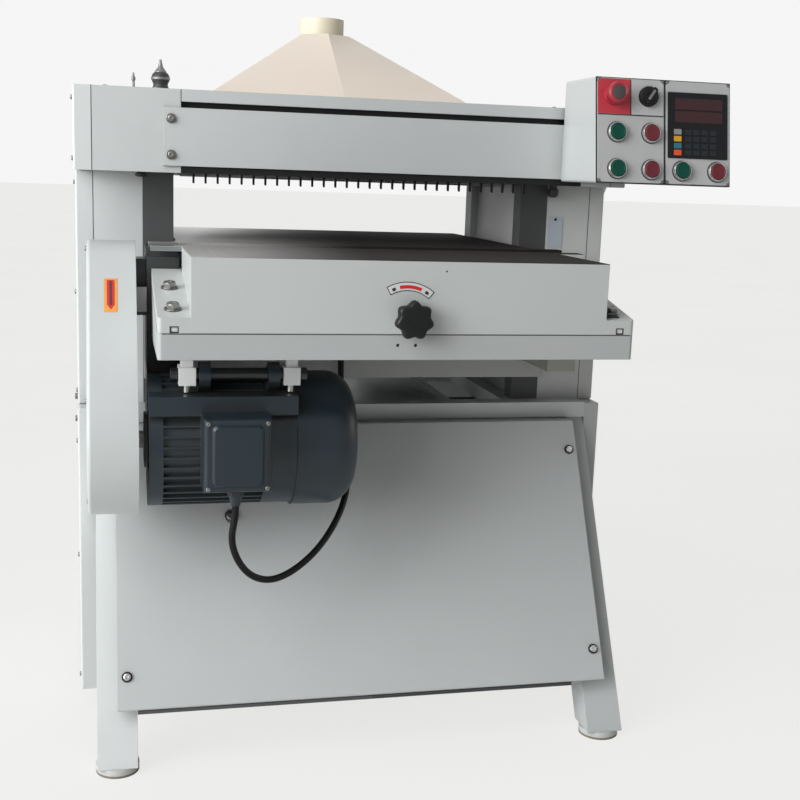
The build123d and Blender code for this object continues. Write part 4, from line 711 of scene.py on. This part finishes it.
def directionLabel(x0, x1, tangent, up, out, top, bottom, tip, half, head, tail, line, layers):
    plane = planeAt(Vector(tangent) * mm, up, out)
    middle, point = (x0 + x1) / 2, bottom + tip
    base, groundHigh, arrowHigh, lineHigh = layers
    arrow = [(middle, point), (middle + half, point + head), (middle + half, top - tail), (middle - half, top - tail),
             (middle - half, point + head)]
    platePiece("labelGround", [box2d(x0, x1, bottom, top)], plane, base, groundHigh, labelOrange, "carriage")
    platePiece("labelArrow", [arrow], plane, base, arrowHigh, labelRed, "carriage")
    platePiece("labelLine", [box2d(middle - line, middle + line, point + head - 1, top - tail * 1.5)], plane, base,
               lineHigh, labelDark, "carriage")
    print("direction label made")


directionLabel(**labelSettings)

# thickness plate on the right column
thicknessSettings = {"x0": 375.5, "x1": 405.5, "z0": 855.0, "z1": 913.0, "corner": 2.0, "thick": 1.2, "drop": 5.0,
                     "screw": 2.4, "face": -0.181}
plateBlueGrey = mouldedPlastic("blue grey polycarbonate plate", "#aab2bb", "#a2aab3", 0.3, grainMm=6)


def thicknessPlate(x0, x1, z0, z1, corner, thick, drop, screw, face):
    plane = frontPlane(face)
    platePiece("thicknessPlate", [roundedBox(x0, x1, z0, z1, corner)], plane, 0.0, thick, plateBlueGrey, "frame")
    putFasteners("thicknessScrew", screwShape, [((x0 + x1) / 2, z1 - drop, thick)], (0, -1, 0), screw * mm,
                 blackSteel, "frame", 5, plane)
    print("thickness plate made")


thicknessPlate(**thicknessSettings)

# terminal box lid: a raised panel and corner screws
lidSettings = {
    "x0": -296.0, "x1": -194.0, "z0": 501.0, "z1": 615.0, "face": -0.591, "side": 12.0, "end": 9.0, "corner": 9.0,
    "slope": 4.0, "topCorner": 7.0, "high": 4.5, "screwSide": 6.5, "screwEnd": 7.0, "screw": 3.6}


def terminalLid(x0, x1, z0, z1, face, side, end, corner, slope, topCorner, high, screwSide, screwEnd, screw):
    plane = frontPlane(face)
    outer = (x0 + side, x1 - side, z0 + end, z1 - end)
    inner = (outer[0] + slope, outer[1] - slope, outer[2] + slope, outer[3] - slope)
    shape = bmesh.new()
    addPlate(shape, roundedBox(*outer, corner, 6), plane, 0.0, high, roundedBox(*inner, topCorner, 6))
    finishMesh("terminalLidPanel", shape, motorEnamel, "carriage", slot="motor_paint")
    points = [(x, z, 0) for x in (x0 + screwSide, x1 - screwSide) for z in (z0 + screwEnd, z1 - screwEnd)]
    putFasteners("terminalScrews", screwShape, points, (0, -1, 0), screw * mm, zincPlate, "carriage", 7, plane)
    print("terminal lid made")


terminalLid(**lidSettings)

# motor cable: hangs from the gland in a loop to the clip on the saddle
cableSettings = {"radius": 5.5, "sides": 5, "steps": 12, "points": [
    (-245, -558, 473), (-245, -558, 455), (-252, -557, 418), (-241, -554, 382), (-219, -547, 354), (-189, -535, 341),
    (-157, -517, 344), (-122, -494, 359), (-92, -468, 379), (-66, -438, 404), (-47, -408, 428), (-34, -375, 454),
    (-29, -330, 500), (-27, -284, 551), (-25, -236, 600), (-25, -236, 665)]}


def motorCable(radius, sides, steps, points):
    curve = bpy.data.curves.new("motorCable", "CURVE")
    curve.dimensions = "3D"
    spline = curve.splines.new("NURBS")
    spline.points.add(len(points) - 1)
    for point, place in zip(spline.points, points):
        point.co = [value * mm for value in place] + [1]
    spline.order_u = 3
    spline.use_endpoint_u = True
    spline.resolution_u = steps
    curve.bevel_depth = radius * mm
    curve.bevel_resolution = sides
    curve.materials.append(cableJacket)
    cable = addObject("motorCable", curve)
    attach(cable, "carriage")
    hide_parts("motor_cable")
    print("motor cable laid")


motorCable(**cableSettings)

# bolts that hold the base panels, covers and head panel, and lock the infeed table
boltPlaces = {
    **{"basePanel" + side: ("frame", (0, sign, 0.53), [
        (x, sign * y, z) for x in (-408.5, 408.5) for y, z in ((447.1, 155.5), (273.6, 483))])
       for side, sign in (("Front", -1), ("Rear", 1))},
    "panelCatch": ("frame", (0, -1, 0.53), [(-228.8, -324.2, 387.5)]),
    **{"cover" + side: ("frame", (sign, 0, 0), [(sign * 487, -120, 565), (sign * 487, -120, 524)])
       for side, sign in (("Left", -1), ("Right", 1))},
    "headPanel": ("frame", (0, -1, 0), [(-329, -281, 1001), (-329, -281, 1060)]),
    "tableLock": ("infeed", (0, -0.2, 1), [
        (x, y, 770 + 0.2 * (y + 624)) for x in (-341, 341) for y in (-585, -480)]),
}
boltLooks = {"shadeRinged": ("basePanelFront", "basePanelRear"), "catchSize": 1.5, "boltSeed": 20, "shadeRingSeed": 60,
             "replaced": {"basePanelFront": "frame_bolts", "tableLock": "lock_bolts"}}


def frameBolts():
    for index, (name, (body, direction, points)) in enumerate(boltPlaces.items()):
        shadeRinged = name in boltLooks["shadeRinged"]
        putFasteners(
            name + "Bolts", lockShape if name == "tableLock" else boltShape, points, direction,
            boltLooks["catchSize"] if name == "panelCatch" else 1.0, brightChrome if shadeRinged else zincPlate, body,
            boltLooks["boltSeed"] + index, slot="zinc_plate", replaces=boltLooks["replaced"].get(name))
        # the base panel bolts get a dark ring under the head: painted shade
        if shadeRinged:
            putFasteners(name + "Seals", shadeRingShape, points, direction, 1.0, blackSteel, body,
                         boltLooks["shadeRingSeed"] + index, slot="dark_paint")
    print("bolts placed")


frameBolts()

# sheet metal screws along the covers, guards and rear sheets
sheetScrews = {
    "coverLeftScrews": ("frame", (-1, 0, 0), [(-487, y, z) for y, z in (
        (-258, 1088), (272, 1088), (-258, 990), (272, 990), (-163, 950), (163, 950), (-163, 760), (163, 760),
        (-163, 584), (163, 584), (-200, 500), (200, 500), (-200, 290), (200, 290), (-200, 62), (200, 62))]),
    "coverRightScrews": ("frame", (1, 0, 0), [(487, y, z) for y, z in (
        (-258, 1088), (-258, 990), (-163, 950), (163, 950), (-163, 760), (-163, 584), (-200, 500), (-200, 290),
        (200, 290), (-200, 62), (200, 62))]),
    "rearSheetScrews": ("frame", (0, 1, 0), [(x, 290, z) for x in (-290, -97, 97, 290) for z in (996, 1075)]),
    "lidScrews": ("frame", (0, 0, 1), [(x, y, 1108) for x in (-435, -352, 352, 435) for y in (-246, 260)]),
    "hoodScrews": ("frame", (0, 0, 1), [(x, y, 1108) for x in (-296, 296) for y in (-60, 90, 240)]),
    "guardScrews": ("frame", (1, 0, 0), [(548, -40, 1066), (548, 60, 1040), (548, 310, 600), (548, 452, 720)]),
    "beltGuardScrews": ("carriage", (-1, 0, 0), [(-466, -325, 846), (-466, -462, 620), (-466, -374, 600),
                                                 (-466, -425, 450)]),
}
sheetScrewLook = {"radius": 4.2, "seed": 40}


def coverScrews():
    for index, (name, (body, direction, points)) in enumerate(sheetScrews.items()):
        putFasteners(name, screwShape, points, direction, sheetScrewLook["radius"] * mm, zincPlate, body,
                     sheetScrewLook["seed"] + index)
    print("sheet metal screws placed")


coverScrews()

# shut lines: thin dark strips where sheets and castings meet, each from a start to an end and facing out
seamSettings = {"half": 0.55, "sunk": -0.1, "proud": 0.25}
seams = {
    "headSeams": ("frame", [((x, y, 972), (x, y, 1107.5), (0, y, 0)) for y in (-276, 290) for x in (-457, 457)]
                  + [((x, -276, 1108), (x, 290, 1108), (0, 0, 1)) for x in (-457, 457)]),
    # the beam seam is a dark joint and also painted shade of the step at the block's end
    "beamSeams": ("frame", [((-312.5, -276, 1086), (-312.5, -276, 1107.5), (0, -1, 0))]),
    "columnSeams": ("frame", [((x, y, 564), (x, y, 970), (0, y, 0)) for x in (-457, 457) for y in (-181, 181)]),
    "tableSeam": ("carriage", [((-358, -624, 746.8), (358, -624, 746.8), (0, -1, 0))]
                  + [((x, -617, 748.2), (x, -382, 795.2), (x, 0, 0)) for x in (-364.5, 364.5)]),
}


def shutLines(half, sunk, proud):
    for name, (body, lines) in seams.items():
        shape = bmesh.new()
        for start, end, out in lines:
            run = Vector(end) - Vector(start)
            plane = planeAt(Vector(start) * mm, run, out)
            addPlate(shape, box2d(-half, half, 0, run.length), plane, sunk, proud)
        finishMesh(name, shape, darkGasket, body, slot="black_plastic")
    print("shut lines drawn")


shutLines(**seamSettings)

# head fittings: vent plug, dipstick and rubber stops under the head
fittings = {
    "plugPlace": (-341, -160, 1108), "pinPlace": (-387, -160, 1108),
    "stops": (((376, -200, 971.5), 1.0), ((-376, -200, 971.5), 0.4)),  # place, and how much of its height shows
    "plug": [(0, 0), (16.8, 0), (16.8, 2.2), (15.4, 3.4), (12.6, 11), (12.4, 14), (14.6, 18), (15.6, 23), (15.2, 27),
             (13.2, 31), (10.0, 33.5), (0, 33.5)],
    "cap": [(0, 33), (10.4, 33), (10.4, 34.4), (7.2, 38.5), (4.6, 42), (3.6, 46), (2.6, 50), (2.2, 54.2), (1.2, 55),
            (0, 55)],
    "band": [(14.9, 20), (16.4, 21), (16.4, 24.4), (15.0, 25.4)],
    "pin": [(0, 0), (4.6, 0), (4.6, 2), (2.4, 3), (2.2, 17), (3.4, 18.4), (3.4, 23), (2.2, 24.6), (1.4, 30.5),
            (0, 31.5)],
    "stop": [(0, 0), (7.0, 0), (7.0, 5.5), (9.2, 7.2), (10.0, 10), (10.0, 16), (8.6, 20), (5.4, 22.2), (0, 22.5)],
}
plugRubber = mouldedPlastic("dark grey rubber, moulded", "#383938", "#2e2f2e", 0.55)
plugMetal = workedMetal("dull cast zinc", "#8f908d", "#777875", 0.45, 2.0, 2, metallic=0.6)


def headFittings(plugPlace, pinPlace, stops, plug, cap, band, pin, stop):
    place = Matrix.Translation(Vector(plugPlace) * mm)
    turnedPiece("ventPlug", plug, [place], plugRubber, "frame", slot="black_plastic", replaces="head_fittings")
    shape = bmesh.new()
    spinProfile(shape, cap, place, 32)
    spinProfile(shape, band, place, closed=True)
    finishMesh("ventCap", shape, plugMetal, "frame", slot="zinc_plate")
    turnedPiece(
        "dipstick", pin, [Matrix.Translation(Vector(pinPlace) * mm)], plugMetal, "frame", 24, slot="dark_paint")
    places = [facing(Vector(spot) * mm, (0, 0, -1)) @ Matrix.Diagonal((1, 1, share, 1)) for spot, share in stops]
    turnedPiece("rubberStops", stop, places, plugRubber, "frame", 32, slot="black_plastic")
    print("head fittings made")


headFittings(**fittings)

# fan grilles: rings of slots in the motors' cowls, on a node tree
grilleSettings = {
    "motors": (("lower", "carriage", (-43, -425, 550), (1, 0, 0)), ("upper", "frame", (139, 390, 658), (-1, 0, 0))),
    "rings": ((12, 20, 16), (24, 40, 16), (36, 59, 14)),  # slots, radius and slot length
    "wide": 5, "thick": 1.0,
}
slotTree, add, given = startTree("ringOfSlots", {"Count": "Int", "Radius": "Float", "Slot": "Vector"})
circle = add("GeometryNodeMeshCircle", {"Vertices": given["Count"], "Radius": given["Radius"]})
outward = add("GeometryNodeInputPosition")
pointing = add("FunctionNodeAlignRotationToVector", {"Vector": outward}, axis="X")
slotShape = add("GeometryNodeMeshCube", {"Size": given["Slot"]})
endTree(add, given, add("GeometryNodeInstanceOnPoints", {
    "Points": circle, "Instance": slotShape, "Rotation": pointing}))


def fanGrilles(motors, rings, wide, thick):
    for name, body, place, direction in motors:
        for index, (count, radius, length) in enumerate(rings):
            values = {"Count": count, "Radius": radius * mm, "Slot": (length * mm, wide * mm, thick * mm),
                      "Finish": darkGasket}
            slots = runTree(name + "Grille" + str(index), slotTree, values, body, slot="black_plastic")
            slots.data.transform(facing(Vector(place) * mm, direction))
    print("fan grilles cut")


fanGrilles(**grilleSettings)

# dark pad on the right end of the infeed slide
padSettings = {"x": (319.0, 345.0), "y": (-612.0, -384.0), "front": (0, -624.0, 770.0), "slope": 0.2, "corner": 3.0,
               "thick": 1.2}


def slidePad(x, y, front, slope, corner, thick):
    plane = planeAt(Vector(front) * mm, (0, 1, slope), (0, -slope, 1))
    along = [(value - front[1]) * math.sqrt(1 + slope ** 2) for value in y]
    platePiece("slidePad", [roundedBox(*x, *along, corner)], plane, 0.0, thick, blackSteel, "infeed")
    print("slide pad made")


slidePad(**padSettings)

# gib pockets: a dark frame round a pale block in each front corner of the slide
gibSettings = {"middles": (-341.0, 341.0), "half": 6.4, "low": 748.3, "high": 757.9, "wall": 1.3, "inset": 1.5,
               "deep": -5.0, "frameFace": -0.2, "blockFace": -1.5}


def gibPockets(middles, half, low, high, wall, inset, deep, frameFace, blockFace):
    frames, blocks = [], []
    for middle in middles:
        left, right = middle - half, middle + half
        frames += frameBoxes(left, right, low, high, wall)
        blocks.append(box2d(left + inset, right - inset, low + inset, high - inset))
    platePiece("gibFrames", frames, tableFront, deep, frameFace, darkGasket, "infeed", slot="black_plastic")
    platePiece("gibBlocks", blocks, tableFront, deep, blockFace, whiteEnamel, "infeed", slot="grey_paint")
    print("gib pockets filled")


gibPockets(**gibSettings)

# shaft shroud: a dark sheet box round the cutter shaft between the arm and the belt guard, with a pale tab in front
shroudSettings = {"sides": (372.3, 388.7), "box": (299.0, 351.0, 774.0, 833.0), "wall": 2.4, "topWall": 13.0,
                  "tab": (750.0, 790.0), "tabDeep": (-248.0, -244.0)}


def shaftShroud(sides, box, wall, topWall, tab, tabDeep):
    leftPlane = planeAt((0, 0, 0), (0, 0, 1), (-1, 0, 0))
    platePiece("shaftShroud", frameBoxes(*box, wall, topWall), leftPlane, *sides, motorEnamel, "carriage",
               slot="motor_paint")
    near, far = sides
    platePiece(
        "guardTab", [box2d(-far, -near, *tab)], tableFront, *tabDeep, greyEnamel, "carriage", slot="grey_paint")
    print("shaft shroud made")


shaftShroud(**shroudSettings)

# dark strips below the base panels, between the legs: painted shade under the panels' bottom edges
shadeStripSettings = {"outline": (-392.0, 362.0, 99.5, 104.9), "depths": ((-156.8, -152.8), (-1095.2, -1091.2))}


def panelHems(outline, depths):
    shape = bmesh.new()
    for deep, near in depths:
        addPlate(shape, box2d(*outline), tableFront, deep, near)
    finishMesh("panelHems", shape, darkEnamel, "frame", slot="dark_paint")
    print("panel hems made")


panelHems(**shadeStripSettings)
for template in (screwShape, boltShape, lockShape, shadeRingShape):
    bpy.data.objects.remove(template)

# studio: pale floor, white surround, windows at the left and weak light from behind
studio = {
    "floor": "#f4f4f2", "floorShade": "#f0f0ee", "cloudMm": 900, "floorGlow": 0.86, "reach": 60,
    "surround": 0.92, "ambient": 0.05, "mirrored": 0.55, "aim": (-0.1, -0.3, 0.8), "panelSize": 1.2,
    "suns": (("leftSide", (-1.0, -0.15, 0.25), 50, 1.15), ("leftLow", (-0.75, -0.62, 0.18), 35, 1.0),
             ("topLeft", (-0.3, -0.2, 1.0), 40, 0.25), ("rightBack", (0.95, 0.25, 0.4), 40, 0.5),
             ("rear", (0.1, 0.75, 0.9), 60, 0.5)),  # where it stands, its spread in degrees and its strength
    "panels": (("windowLeft", (-2.4, -1.6, 1.5), 30), ("windowTop", (-1.6, -1.6, 2.4), 20)),
}


def addLamp(name, kind, energy, place, towards, **settings):
    light = bpy.data.lights.new(name, kind)
    light.energy = energy
    for key, value in settings.items():
        setattr(light, key, value)
    lamp = addObject(name, light)
    lamp.matrix_world = facing(place, towards)
    return lamp


def buildStudio():
    material, add, coords, tint = startFinish(
        "pale studio floor, painted", studio["floor"], studio["floorShade"], studio["cloudMm"], 2.0)
    shader = add("BsdfPrincipled", {"Base Color": tint, "Roughness": 0.8})
    glow = add("Emission", {"Color": tint})
    seen = add("LightPath").outputs["Is Camera Ray"]
    share = add("Math", {0: seen, 1: studio["floorGlow"]}, operation="MULTIPLY")
    lifted = add("MixShader", {0: share, 1: shader, 2: glow})
    add("OutputMaterial", {"Surface": lifted})
    mesh = bpy.data.meshes.new("floor")
    reach = studio["reach"]
    mesh.from_pydata([(x, y, 0) for x, y in box2d(-reach, reach, -reach, reach)], [], [(0, 1, 2, 3)])
    mesh.materials.append(material)
    addObject("floor", mesh)
    world = bpy.data.worlds.new("studio")
    world.use_nodes = True
    world.node_tree.nodes.clear()
    add = partial(addNode, world.node_tree)
    path = add("LightPath").outputs
    room = add("MapRange", {0: path["Is Glossy Ray"], 3: studio["ambient"], 4: studio["mirrored"]})
    bright = add("MapRange", {0: path["Is Camera Ray"], 3: room, 4: studio["surround"]})
    shader = add("Background", {"Color": "#ffffff", "Strength": bright})
    add("OutputWorld", {"Surface": shader})
    bpy.context.scene.world = world
    for name, towards, spread, strength in studio["suns"]:
        addLamp(name, "SUN", strength, (0, 0, 0), towards, angle=math.radians(spread))
    for name, place, watts in studio["panels"]:
        towards = Vector(place) - Vector(studio["aim"])
        lamp = addLamp(name, "AREA", watts, place, towards, size=studio["panelSize"])
        lamp.visible_camera = False
    print("studio lit")


buildStudio()
